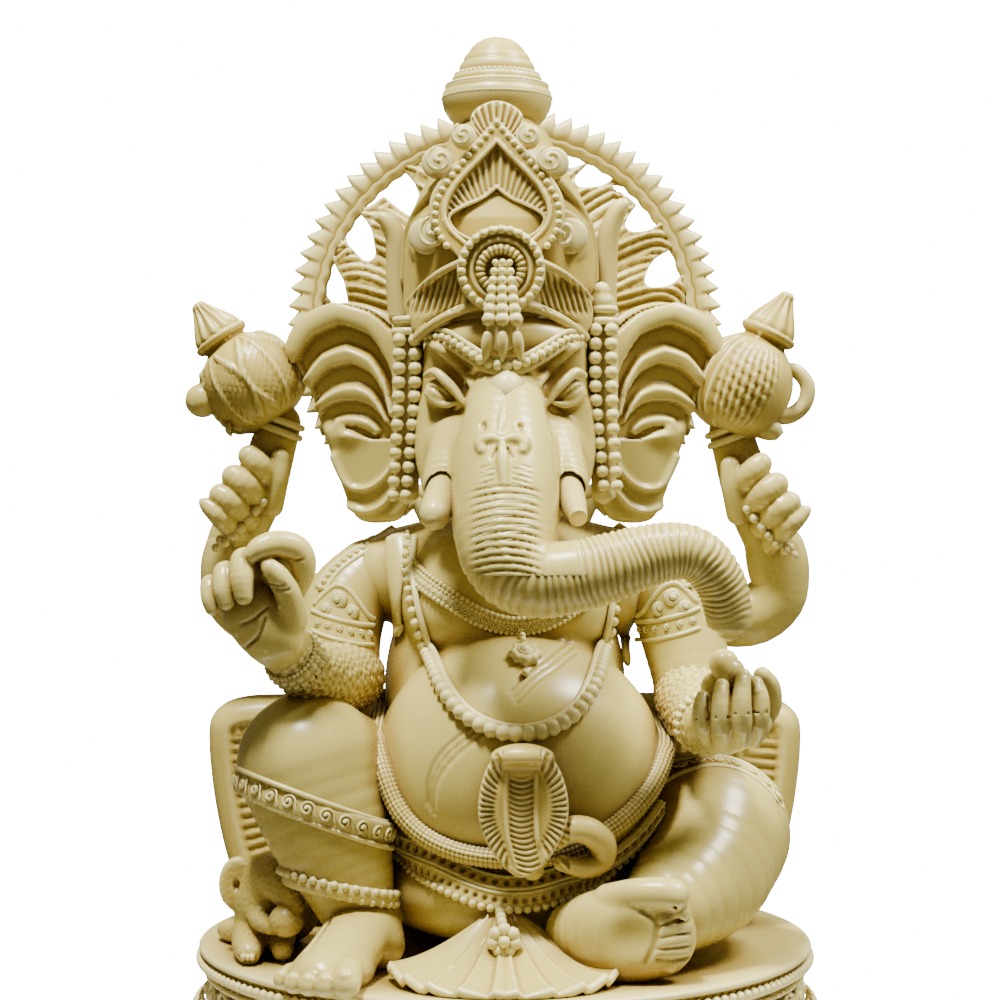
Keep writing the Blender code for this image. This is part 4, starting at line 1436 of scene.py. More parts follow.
    def trunk(self) -> Skin:
        """The ringed free length of the trunk, which curls to the sweets.

        Returns:
            The trunk's surface.
        """
        run = evened(smoothed(through(self.trunk_run[4:], 8), 4), 0.42)
        path, radii = run[:, :3], run[:, 3]
        lengths = np.arange(len(run)) * float(np.linalg.norm(path[1] - path[0]))
        share = lengths / lengths[-1]
        tip = 1 - 0.5 * ease(share, 0.965, 1.0)
        skin = swept(path, radii * tip, 84, up=(0.25, -1.0, 0.1))
        ring = np.repeat(lengths, 84)
        rounds = np.tile(np.arange(84), len(run))
        wander = 0.35 * np.sin(rounds * 2 * math.pi / 84 * 3 + ring * 0.23) + 0.18 * np.sin(ring * 0.9)
        deep = 0.42 + 0.12 * np.sin(ring * 0.7 + rounds * 0.2)
        fade = 1 - ease(np.repeat(share, 84), 0.90, 0.97)
        amount = -deep * fade * grooves(ring + wander, 1.75, 3.0)
        return skin.pushed(np.concatenate([amount, [0, 0]]))


@dataclass
class Ears(Assembly):
    """Two broad ears with a rolled rim and stepped folds inside it."""

    outline: tuple[tuple[float, float], ...] = (
        (25, 212), (31, 220.5), (38, 225), (46.5, 227), (55, 225.2), (61.5, 220.5), (64.6, 213.6),
        (62.4, 208), (58, 200), (55, 190), (51.5, 180), (48.4, 171), (45.8, 164.6), (42.5, 161.6),
        (36, 161.2), (30.5, 163), (27, 172), (25, 190),
    )
    hub: tuple[float, float] = (40.0, 186.0)
    turns: tuple[float, ...] = (30, 45, 60, 75, 90, 100, 115, 130)
    folds: tuple[tuple[float, ...], ...] = (
        (40, 40, 42, 42, 38, 34, 30, 28), (28, 32, 35, 35.3, 30.5, 24.5, 17, 13),
        (24, 23.8, 24.2, 23, 19.2, 15.6, 11.2, 9), (17, 15.2, 13.0, 11.2, 9.6, 8.4, 7.4, 6.6),
        (8, 5, 3, 2, 1.6, 1.5, 1.4, 1.2),
    )

    def build(self) -> None:
        """Make both ears."""
        right = self.ear().mirrored()
        self.emit("right_ear_casting", "right_ear", right, (-43.8, -4.9, 193.8))
        self.emit("left_ear_casting", "left_ear", self.ear(), (43.8, -5.0, 193.8))

    def ear(self) -> Skin:
        """One ear, on the +X side.

        Returns:
            The ear's surface.
        """
        outline = evened(through(self.outline, 4, closed=True), 1.5)
        clay = Clay((20, -26, 155), (70, 14, 233), 0.5)
        clay.plate(
            outline,
            lambda x, z: -11.5 + 0.3 * (x - 20) + 0.05 * (200 - z) * (z < 200),
            3.6,
            0,
            edge=3.0,
            depth=(-26, 14),
        )
        skin = clay.skin()
        x, _, z = skin.places.T
        turn = np.degrees(np.arctan2(z - self.hub[1], x - self.hub[0]))
        away = np.hypot(x - self.hub[0], z - self.hub[1])
        folds = [np.interp(turn, self.turns, fold) for fold in self.folds]
        rise = np.zeros(len(x))
        for index, (outer, inner) in enumerate(zip(folds, folds[1:])):
            share = (outer - away) / np.maximum(outer - inner, 1.0)
            within = (share >= 0) * (1 - ease(share, 0.955, 1.0))
            shelf = ease(share, 0.0, 0.12) if index == 0 else ease(share, 0.42, 0.66)
            bulge = np.sin(math.pi * np.clip(share if index == 0 else 0.2 + 0.8 * share, 0, 1)) ** 0.6
            rise = np.where(share >= 0, within * shelf * (2.6 + 1.2 * bulge - 0.55 * index), rise)
        rise *= ease(turn, 10, 30) * (1 - ease(turn, 128, 150))
        sunk = 1.6 * ease(turn, 10, 30) * (away < folds[0])
        lobe = 1.5 * np.exp(-(((x - 47) / 4.5) ** 2 + ((z - 187.5) / 3.0) ** 2))
        lobe += 1.0 * np.exp(-(((x - 32) / 3) ** 2 + ((z - 192) / 4) ** 2))
        lower = [(51, 181), (47, 173), (43, 171.3), (38.5, 172.6), (34, 177), (30, 185)]
        hem = [(49, 168), (42.7, 164.8), (37.5, 165.8), (33.9, 169.2), (29, 176)]
        for spots in (lower, hem):
            line = through([(lx, 0.0, lz) for lx, lz in spots], 6)
            _, off = nearest_on(line, skin.places * np.array((1, 0, 1)))
            lobe += 1.5 * np.exp(-((off / 1.1) ** 2))
        facing = ease(-skin.normals()[:, 1], 0.15, 0.5)
        return skin.pushed(facing * (rise - sunk + lobe))


@dataclass
class Tusks(Assembly):
    """A whole tusk on the figure's right and a broken one on its left."""

    def build(self) -> None:
        """Make both tusks."""
        whole = evened(
            through(
                [
                    (-15.7, -43, 175.4, 4.3), (-17.4, -51, 170.2, 4.6), (-18.8, -59, 165.4, 4.5),
                    (-20, -65, 162.2, 4.0)
                ],
                8
            ),
            0.5
        )
        ends = np.linspace(0, 1, len(whole))
        skin = swept(whole[:, :3], whole[:, 3] * np.sqrt(1 - np.clip((ends - 0.82) / 0.19, 0, 1) ** 2.4), 32)
        self.emit("whole_tusk", "right_tusk", skin, (-17.7, -53.4, 169.4))
        broken = evened(
            through(
                [
                    (15.7, -43, 175.4, 4.6), (17.2, -50, 170.6, 4.4), (18.6, -57, 166.4, 3.7),
                    (19.8, -63, 163.0, 2.5)
                ],
                8
            ),
            0.5
        )
        skin = swept(broken[:, :3], broken[:, 3], 32)
        skin.places[-1] = broken[-1, :3] + (broken[-1, :3] - broken[-2, :3]) * -0.6
        self.emit("broken_tusk", "left_tusk", skin, (16.8, -51.2, 170.6))


@dataclass
class Crown(Assembly):
    """Tall crown with its spade plaque, medallion, tassel, wings, crests and hanging strings."""

    finish: Finish = Finish.CARVED
    centre: tuple[float, float] = (-1.6, -12.0)

    def build(self) -> None:
        """Make every casting of the crown."""
        self.body()
        self.plaque()
        self.medallion()
        self.tassel()
        self.finial()
        self.crests()
        self.side_strings()
        self.forehead()

    def body(self) -> None:
        """The crown itself, with the ribbed wings and the scroll plates at its front."""
        clay = Clay((-33, -50, 211), (31, 20, 284), 0.5)
        profile = [
            (0, 281), (9, 280), (14, 276), (17.5, 268), (24, 257), (27.5, 248), (28.3, 240), (28.3, 224)
        ]
        clay.lathe([*profile, (27.2, 217), (25, 215.2), (20, 214), (0, 214)], self.centre)
        for side in (-1, 1):
            wing = [
                (3.5, 236), (12.5, 234.6), (20, 230.6), (25, 226.6), (26.5, 221), (24.5, 216), (20, 219.6),
                (13, 222.4), (4, 224)
            ]
            wing = evened(through([(-1.2 + side * x, z) for x, z in wing], 4, closed=True), 1.2)
            clay.plate(wing, lambda x, z: -37.6 + 0.016 * (x + 1.2) ** 2, 3.0, 0.8, 1.6, (-50, -8))
            lip = [
                (-1.2 + side * x, y, z, 1.5) for x, y,
                z in ((2, -41, 222.6), (10, -40, 222.0), (18, -36, 218.6), (24, -29.5, 214.6))
            ]
            clay.limb(lip, 0.8)
            edge = [
                (-1.2 + side * x, y, z, 1.1) for x, y,
                z in ((11, -41.4, 235), (17, -38, 232.4), (22.5, -32.5, 228.6), (26.5, -25, 224.6))
            ]
            clay.limb(edge, 0.6)
            plate = evened(
                through(
                    [
                        (-1.9 + side * x, z) for x,
                        z in ((16, 250), (21, 250.6), (25, 246), (25.8, 240), (22, 236.4), (15, 237))
                    ],
                    4, closed=True
                ),
                1.2
            )
            clay.plate(plate, lambda x, z: -33.0 + 0.012 * x * x, 2.6, 0.8, 1.2, (-44, -10))
            rim = [
                (-1.7 + side * x, y, z, 1.3) for x, y,
                z in ((17, -31, 259), (23, -24, 253), (27, -16, 245), (28, -14, 233))
            ]
            clay.limb(rim, 1.0)
        skin = clay.skin()
        x, y, z = skin.places.T
        ribs = ease(z, 220, 222.5) * (
            1 - ease(z - 0.25 * (24 - np.abs(x + 1.2)), 226.6, 228.0 + 3)
        ) * ease(np.abs(x + 1.2), 10.5, 12.5)
        front = ease(-skin.normals()[:, 1], 0.3, 0.6) * ease(-y, 22, 26)
        fan = np.abs(x + 1.2) + 0.28 * (z - 222)
        skin = skin.pushed(-0.8 * ribs * front * grooves(fan, 1.75, 1.4))
        parts = [skin]
        for side in (-1, 1):
            curl = np.array([(-2.0 + side * 18, -37.2, 243.6), (-2.0 + side * 22.6, -35.0, 242.8)])
            parts.append(row(Motif.CURL, curl, np.array((side * 0.25, -1.0, 0.1)), 5.0, 1, self.finish))
            outer = np.array(
                [(-2.6 + side * x, y, z) for x, y, z in ((9.4, -38.2, 271.2), (12.4, -37.8, 270.6))]
            )
            parts.append(row(Motif.CURL, outer, np.array((side * 0.1, -1.0, 0.1)), 3.5, 1, self.finish))
            outer = np.array(
                [(-2.8 + side * x, y, z) for x, y, z in ((15.6, -37.6, 264.2), (18.8, -37.0, 263.2))]
            )
            parts.append(row(Motif.CURL, outer, np.array((side * 0.1, -1.0, 0.1)), 4.2, 1, self.finish))
            studs = [
                (-2.7 + side * 9.2, -33.5, 271.2, 3.4), (-2.8 + side * 16.4, -33, 263.8, 4.4),
                (-2.0 + side * 20.4, -31.5, 243.2, 5.0)
            ]
            for stud_x, stud_y, stud_z, size in studs:
                stub = lathe(
                    [(0, -3), (size * 0.95, -2.6), (size * 1.05, 1.6), (size * 0.9, 2.2), (0, 1.6)], 28
                )
                parts.append(
                    Skin(
                        stub.places[:, [0, 2, 1]] * np.array((1, -1, 1)), stub.quads, stub.tris
                    ).moved((stud_x, stud_y, stud_z))
                )
        self.emit("crown_casting", "crown_body", joined(parts), (-1.6, -12, 246.6), 110_000)

    def plaque(self) -> None:
        """The spade plaque, with bead rows, radial ribs, a sunk middle and a palmette at its top."""
        middle_x = -2.5

        def spade(half: Sequence[tuple[float, float]]) -> np.ndarray:
            """A spade outline from its right half."""
            right = evened(through(half, 4), 1.0)
            return np.vstack([right, right[1:][::-1] * np.array((-1, 1))]) + np.array((middle_x, 0))

        def lean(_: np.ndarray, z: np.ndarray) -> np.ndarray:
            """Y of the plaque at a place."""
            return -39.6 + 0.13 * (z - 226)

        outer = [
            (0, 276.5), (5, 271), (10, 265.6), (15, 260), (18.2, 255), (19.2, 250.4), (18.6, 245.6),
            (15.6, 241)
        ]
        outline = spade([*outer, (11.4, 237), (7, 231)])
        rim = spade(
            [(0, 269.8), (4.5, 265), (9, 260.4), (12.6, 256), (14.8, 251), (14.6, 247), (12.2, 243), (6, 238)]
        )
        heart = spade(
            [
                (0, 256.6), (4, 253.4), (9, 251.2), (13.2, 248.6), (13.2, 246), (10.4, 243), (5, 240.6),
                (2, 240)
            ]
        )
        clay = Clay((-28, -50, 226), (23, -24, 288), 0.42)
        clay.plate(outline, lean, 3.0, 0, 0.8, (-50, -24))
        for inner, deep in ((rim, 1.2), (heart, 2.9)):
            clay.plate(
                inner, lambda x, z, d=deep: lean(x, z) - 6.0 + d, 3.0, 0.3, 0.4, (-56, -24), carve=True
            )
        for edge, lift, thick in ((rim, 2.9, 0.75), (heart, 1.8, 0.5)):
            clay.limb(
                [(x, lean(x, z) - lift, z, thick) for x, z in np.vstack([edge, edge[:1]])], 0.3, steps=1
            )
        fan = [(0, 282), (3.4, 281.2), (6.6, 279), (7.6, 276), (5.4, 272), (0, 268)]
        fan = evened(
            through([(middle_x + x, z) for x, z in [*fan, *flipped(fan[1:-1][::-1])]], 3, closed=True), 1.0
        )
        clay.plate(fan, lambda x, z: -32.6 + 0.13 * (z - 270), 2.0, 0.3, 1.2, (-42, -24))
        skin = clay.skin()
        x, _, z = skin.places.T
        front = ease(-skin.normals()[:, 1], 0.5, 0.8)
        turn = np.arctan2(x - middle_x, z - 240)
        between = ease(-outline_distance(rim, x, z), 0.9, 1.3) * ease(outline_distance(heart, x, z), 0.5, 0.9)
        ribs = 0.6 * front * between * grooves(turn * 20, 1.9, 1.3)
        fanned = np.arctan2(x - middle_x, z - 266)
        above = ease(z - 276.5 + 1.15 * np.abs(x - middle_x), 0.0, 1.0)
        flutes = above * ease(
            np.abs(skin.normals()[:, 1]), 0.2, 0.6
        ) * grooves(fanned * 16, 2.5, 1.2) * (z > 268)
        parts = [skin.pushed(-ribs - flutes)]
        beads = through(outer, 5)
        for side in (-1, 1):
            places = np.array(
                [(middle_x + side * bx * 0.91, lean(0, bz) - 2.9, bz * 0.996 - 0.4) for bx, bz in beads]
            )
            count = int(length_of(places) / 2.3)
            parts.append(row(Motif.BEAD, places, np.array((0, -1, 0)), 1.1, count, self.finish))
        self.emit("spade_plaque", "crown_plaque", joined(parts), (-1.8, -35.9, 251.5), 90_000)

    def medallion(self) -> None:
        """The arched medallion: bead ring, groove, fluted shell and hollow."""
        profile = [
            (0, -2.6, 0), (11.6, -2.6, 0), (12.4, -1.0, 0), (12.2, 0.6, 0), (10.2, 1.0, 0), (9.4, 0.5, 0),
            (8.9, 0.9, 0), (8.3, 1.4, 0), (7.7, 0.9, 0), (7.3, 0.4, 0), (6.9, 1.3, 0.02), (6.1, 1.9, 0.05),
            (5.2, 1.6, 0.07), (4.4, 0.4, 0.03), (4.0, -1.2, 0), (3.2, -2.0, 0), (0, -2.2, 0),
        ]
        sides = 120
        angles = np.arange(sides) * 2 * math.pi / sides
        base = lathe([(r, h) for r, h, _ in profile], sides)
        for index, (r, h, wave) in enumerate(profile[1:-1]):
            span = slice(index * sides, (index + 1) * sides)
            base.places[span, 2] += wave * 9 * np.cos(angles * 24)
            base.places[span, :2] *= (1 + wave * 0.4 * np.cos(angles * 24))[:, None]
        spot = np.array((-1.2, -43.4, 232.6))
        facing = Skin(base.places[:, [0, 2, 1]] * np.array((1, -1, 1)), base.quads, base.tris).moved(spot)
        loop = np.linspace(0, 2 * math.pi, 120, endpoint=False)
        ring = spot + np.column_stack([11.1 * np.sin(loop), np.full(120, -1.4), 11.1 * np.cos(loop)])
        beads = row(Motif.BEAD, ring, np.array((0, -1, 0)), 1.35, 27, self.finish, closed=True)
        self.emit("arched_medallion", "crown_medallion", joined([facing, beads]), (-1.4, -43.3, 231.6))

    def tassel(self) -> None:
        """Three strings of beads that hang from the medallion, with long drops below."""
        parts = []
        middle = [(-0.8, -45.6, 234.4), (-0.9, -48.4, 228), (-0.9, -50.4, 221), (-0.8, -51.6, 216)]
        for offset, end in ((0.0, 0.0), (-1.0, -3.4), (1.0, 3.4)):
            run = [
                (x + offset * (2.0 + 2.0 * i / 3), y + abs(offset) * 0.9, z)
                for i, (x, y, z) in enumerate(middle)
            ]
            path = through(run, 8)
            places, sizes = spaced(path, lambda share: 1.05 + 1.25 * share)
            parts.append(row(Motif.BEAD, places, np.array((0, -1, 0.2)), sizes, len(places), self.finish))
            start = path[-1]
            drop = np.array(
                [
                    start + np.array((0, 0.2, -1.5)), start + np.array((end * 0.1, 0.9, -5.0)),
                    start + np.array((end * 0.3, 1.8, -9.5))
                ]
            )
            run_down = through(drop, 8)
            share = np.linspace(0, 1, len(run_down))
            parts.append(
                swept(run_down, 2.0 * (0.5 + 0.5 * np.sin(math.pi * share) - 0.35 * share), 14, up=(1, 0, 0))
            )
        backing = through(
            [
                (-0.8, -43.4, 234, 2.2), (-0.9, -46.4, 226, 3.4), (-0.8, -48.6, 217, 4.6),
                (-0.8, -49.4, 210, 2.6)
            ],
            6
        )
        parts.append(swept(backing[:, :3], backing[:, 3], 16, up=(0, -1, 0.2), flat=0.5))
        self.emit("brow_tassel", "crown_tassel", joined(parts), (-0.8, -50.2, 221.3))

    def finial(self) -> None:
        """The stepped dome at the top."""
        profile = [
            (0, 277.4), (9.5, 277.4), (12.2, 278.6), (14.2, 280.8), (15.6, 283.0), (16.3, 285.4),
            (16.4, 287.2), (16.0, 288.6), (15.4, 289.0), (15.5, 289.6), (15.1, 290.6), (14.2, 291.2),
            (13.6, 291.2), (13.4, 291.8), (13.4, 292.6), (12.6, 293.4), (11.6, 293.6), (11.2, 294.0),
            (11.35, 294.8), (11.2, 296.0), (10.6, 297.2), (10.1, 297.6), (10.0, 298.2), (9.4, 299.4),
            (8.7, 300.1), (8.4, 300.6), (7.6, 301.8), (6.2, 303.1), (4.4, 304.2), (2.2, 304.8), (0, 305.0),
        ]
        parts = [lathe(profile, 96).moved((-2.4, -8, 0))]
        turns = np.linspace(0, 2 * math.pi, 96, endpoint=False)
        out = np.column_stack([np.cos(turns), np.sin(turns), np.zeros(96)])
        for radius, height, size in ((12.1, 293.5, 0.8), (15.0, 290.4, 0.5), (16.2, 286.7, 0.4)):
            count = int(2 * math.pi * radius / size / 1.9)
            parts.append(
                row(Motif.BEAD, out * radius + (-2.4, -8, height), out, size, count, self.finish, closed=True)
            )
        self.emit("stepped_finial", "crown_finial", joined(parts), (-2.4, -8, 291.2))

    def crests(self) -> None:
        """The curved horn at each side of the crown."""
        right = [
            (-31, -9, 222, 3.6), (-31.6, -9, 232, 3.7), (-31.6, -9.4, 240, 3.6), (-32.4, -10, 246, 3.2),
            (-35.0, -10.5, 250.4, 2.6), (-38.0, -10.5, 251.6, 1.6)
        ]
        left = [
            (29.4, -9, 224, 3.6), (29.6, -9, 234, 3.6), (30.0, -9.4, 243, 3.4), (31.6, -10, 250, 3.0),
            (34.2, -10.5, 254.6, 2.4), (36.0, -10.5, 255.6, 1.5)
        ]
        for name, node, run, at in (
            ("right_horn_crest", "right_crown_crest", right, (-31.6, -8.4, 237.2)),
            ("left_horn_crest", "left_crown_crest", left, (30.1, -8.3, 239.6)),
        ):
            path = evened(through(run, 8), 0.7)
            skin = swept(path[:, :3], path[:, 3], 24, up=(0, 1, 0), flat=1.15)
            self.emit(name, node, skin, at)

    def side_strings(self) -> None:
        """The strings of beads that hang beside the face."""
        for side, node, name, top, at in (
            (-1, "right_side_pendant", "right_bead_string", 219.0, (-28.2, -23.5, 196.0)),
            (1, "left_side_pendant", "left_bead_string", 222.0, (28.2, -24.1, 200.0)),
        ):
            back = through(
                [
                    (side * 28.2, -22.5, top, 4.6), (side * 28.2, -23.6, 200, 4.4),
                    (side * 28.4, -24.6, 168.6, 3.4)
                ],
                10
            )
            parts = [swept(back[:, :3], back[:, 3], 20, up=(0, -1, 0), flat=0.7)]
            for column in (-2.3, 2.3):
                path = through(
                    [
                        (side * 28.2 + column, -27.6, top - 5, 1), (side * 28.4 + column, -28.4, 196, 1),
                        (side * (30.4) + column * 0.8, -28.6, 168.6, 1)
                    ],
                    10
                )[:, :3]
                places, sizes = spaced(path, lambda share: 2.15 - 0.25 * share)
                parts.append(row(Motif.BEAD, places, np.array((0, -1, 0)), sizes, len(places), self.finish))
            for height, radius in ((top + 1.0, 4.6), (top - 2.4, 5.0)):
                collar = lathe(
                    [(0, -1.1), (radius * 0.9, -1.0), (radius, 0), (radius * 0.9, 1.0), (0, 1.1)], 24
                )
                parts.append(collar.moved((side * 28.2, -23.6, height)))
            if side > 0:
                cap = lathe(
                    [(0, 0), (3.4, 0), (4.0, 1.4), (3.6, 3.0), (2.4, 4.6), (2.6, 5.4), (1.6, 7.0), (0, 7.6)],
                    24, 0.04, 8
                )
                parts.append(cap.moved((27.8, -23.6, top + 1.6)))
            self.emit(name, node, joined(parts), at)

    def forehead(self) -> None:
        """The beaded forehead band with its smooth roll, and the faceted jewel below it."""
        run = [
            (-22.6, -31, 214.6), (-17, -38.6, 213.8), (-10.6, -44.2, 209.6), (-5.6, -47.6, 206.4),
            (0, -49.0, 205.2), (5.6, -47.6, 206.4), (12, -44.0, 210), (17.6, -38.4, 213.6),
            (22.6, -31, 214.4)
        ]
        path = through(run, 8)
        out = crossed(np.gradient(path, axis=0), np.array([(0.0, 0.0, 1.0)]))
        out = out * np.where(out[:, 1] > 0, -1, 1)[:, None]
        roll = swept(path + out * -1.0 + np.array((0, 0, -1.9)), 1.25, 12, up=(0, -0.6, 0.8))
        inner = swept(path + out * -0.8 + np.array((0, 0, 1.9)), 0.7, 8, up=(0, -0.6, 0.8))
        places, sizes = spaced(path, lambda share: 0.9 + 0.75 * math.sin(math.pi * share))
        facing = crossed(np.gradient(places, axis=0), np.array([(0.0, 0.0, 1.0)]))
        facing = facing * np.where(facing[:, 1] > 0, -1, 1)[:, None]
        beads = row(Motif.BEAD, places, facing, sizes, len(places), self.finish)
        self.emit("forehead_band_casting", "forehead_band", joined([roll, inner, beads]), (0, -38, 208.5))
        middle = 0.4
        corners = np.array(
            [
                (middle - 5.0, -50, 200.8), (middle, -48.2, 205.4), (middle + 5.0, -50, 200.8),
                (middle - 0.6, -55.5, 192.6)
            ]
        )
        peak = np.array((middle, -54.6, 201.0))
        back = corners + np.array((0, 3.2, 0))
        places = np.vstack([corners, back, peak[None]])
        tris = np.array([(0, 1, 8), (1, 2, 8), (2, 3, 8), (3, 0, 8)])[:, ::-1]
        quads = np.array([(0, 1, 5, 4), (1, 2, 6, 5), (2, 3, 7, 6), (3, 0, 4, 7), (4, 5, 6, 7)])
        jewel = Skin(places, quads, tris)
        tri = np.vstack([jewel.quads[:, [0, 1, 2]], jewel.quads[:, [0, 2, 3]], jewel.tris])
        spots = jewel.places[tri] - places.mean(0)
        if np.einsum("ij,ij->i", spots[:, 0], np.cross(spots[:, 1], spots[:, 2])).sum() < 0:
            jewel = Skin(places, quads[:, ::-1], tris[:, ::-1])
        self.emit("faceted_jewel", "forehead_jewel", jewel, (-0.4, -53.5, 197))


@dataclass
class Halo(Assembly):
    """Toothed halo ring, and the locks of flame that join it to the head."""

    finish: Finish = Finish.CARVED
    centre: Triple = (0.0, 26.0, 222.7)
    teeth: int = 75
    root: float = 64.2
    tip: float = 67.9
    inner: float = 56.5

    def build(self) -> None:
        """Make the ring and the flames."""
        self.ring()
        self.flames()

    def ring(self) -> None:
        """The flat ring, whose teeth lean down and away from the top."""
        count = self.teeth * 12
        angles = np.arange(count) * 2 * math.pi / count
        lean = np.where(angles < math.pi, 1, -1)
        share = (angles * self.teeth / (2 * math.pi) * lean) % 1.0
        tooth = np.where(share < 0.78, share / 0.78, (1 - share) / 0.22)
        outer = self.root + (self.tip - self.root) * tooth**1.1
        ripple = 0.22 * np.sin(angles * 64)
        section = [
            (0, -1.6), (0, 1.6), (-1.2, 3.1), (-4.4, 3.4), (-5.0, 2.9), (-5.6, 3.3), (-7.4, 2.6),
            (-8.2, 1.2), (-8.2, -1.2), (-7.4, -2.6), (-5.6, -3.3), (-5.0, -2.9), (-4.4, -3.4),
            (-1.2, -3.1),
        ]
        rings = []
        for depth, across in section:
            rim = outer if depth > -1 else np.full(count, 64.7) + (0.45 * (outer - 64.7) if depth > -2 else 0)
            radius = rim + depth + (ripple if depth < -4 else 0)
            rings.append(
                np.column_stack(
                    [radius * np.sin(angles), np.full(count, float(across)), radius * np.cos(angles)]
                )
            )
        around = len(section)
        places = np.stack(rings, axis=1).reshape(-1, 3) + np.array(self.centre)
        near = np.arange(count) * around
        far = (np.arange(count) + 1) % count * around
        quads = np.vstack(
            [
                np.column_stack([near + k, far + k, far + (k + 1) % around, near + (k + 1) % around])
                for k in range(around)
            ]
        )
        corners = places[quads] - np.array(self.centre)
        if np.einsum("ij,ij->i", corners[:, 0], np.cross(corners[:, 1], corners[:, 2])).sum() < 0:
            quads = quads[:, ::-1]
        self.emit("toothed_halo", "halo_ring", Skin(places, quads), (0, 26, 222.7))

    def flames(self) -> None:
        """The wavy grooved locks between the head and the ring."""
        locks = [
            [
                (8, 22, 246, 6.5), (19, 23, 262, 6.0), (31, 25, 270, 4.6), (40, 26, 268, 3.4),
                (46, 26, 263, 2.4)
            ],
            [
                (14, 21, 236, 8.0), (30, 22, 246, 8.4), (42, 24, 252, 6.4), (50, 26, 252, 4.4),
                (56, 26, 248, 2.8)
            ],
            [
                (16, 21, 225, 8.0), (34, 22, 232, 9.0), (46, 24, 236, 7.6), (54, 26, 234, 5.2),
                (58, 26, 229, 3.2)
            ],
            [
                (16, 21, 213, 8.5), (34, 22, 216, 9.6), (48, 24, 217, 8.2), (55, 26, 213, 5.6),
                (58, 26, 207, 3.4)
            ],
            [
                (16, 21, 202, 8.0), (34, 22, 201, 8.8), (45, 24, 199, 7.0), (51, 26, 195, 5.0),
                (55, 26, 190, 3.0)
            ],
        ]
        clay = Clay((-63, 12, 188), (63, 34, 280), 0.75)
        clay.ball((0, 21, 228), (26, 5.0, 38), 2).ball((0, 23.4, 231), (56, 3.2, 43), 2)
        for lock in locks:
            for stations in (lock, flipped(lock)):
                clay.limb(stations, 1.4, flat=0.42, thin=(0, 1, 0))
        openings = [
            [(-28.6, 23, 258.6, 2.6), (-32.4, 23, 264.4, 4.8), (-36.4, 23, 270.0, 3.4)],
            [(-42.8, 23, 244.8, 2.6), (-45.8, 23, 251.2, 4.3), (-48.6, 23, 256.6, 2.8)],
            [(-51.0, 23, 229.2, 2.2), (-53.6, 23, 235.0, 3.7), (-55.4, 23, 240.4, 2.4)],
            [(24.0, 23, 267.4, 2.4), (28.8, 23, 269.6, 3.9), (33.4, 23, 271.4, 2.6)],
            [(39.6, 23, 253.4, 2.4), (43.6, 23, 256.0, 4.2), (47.6, 23, 258.4, 2.8)],
            [(45.4, 23, 236.2, 2.4), (50.0, 23, 239.6, 4.7), (54.6, 23, 243.2, 3.0)],
        ]
        for opening in openings:
            clay.limb(opening, 1.2, flat=2.6, carve=True)
        skin = clay.skin()
        amount = np.zeros(len(skin.places))
        best = np.full(len(skin.places), NEVER)
        flat = skin.places * np.array((1, 0, 1))
        for lock in locks:
            for stations in (lock, flipped(lock)):
                path = through(stations, 6)[:, :3] * np.array((1, 0, 1))
                along, away = nearest_on(path, flat)
                wave = away + 0.7 * np.sin(along * 0.16)
                nearer = away < best
                amount = np.where(nearer, -1.0 * grooves(wave, 2.7, 1.3), amount)
                best = np.minimum(best, away)
        facing = ease(np.abs(skin.normals()[:, 1]), 0.35, 0.8)
        self.emit("flame_locks", "halo_flames", skin.pushed(amount * facing), (0, 22.7, 232.3), 60_000)


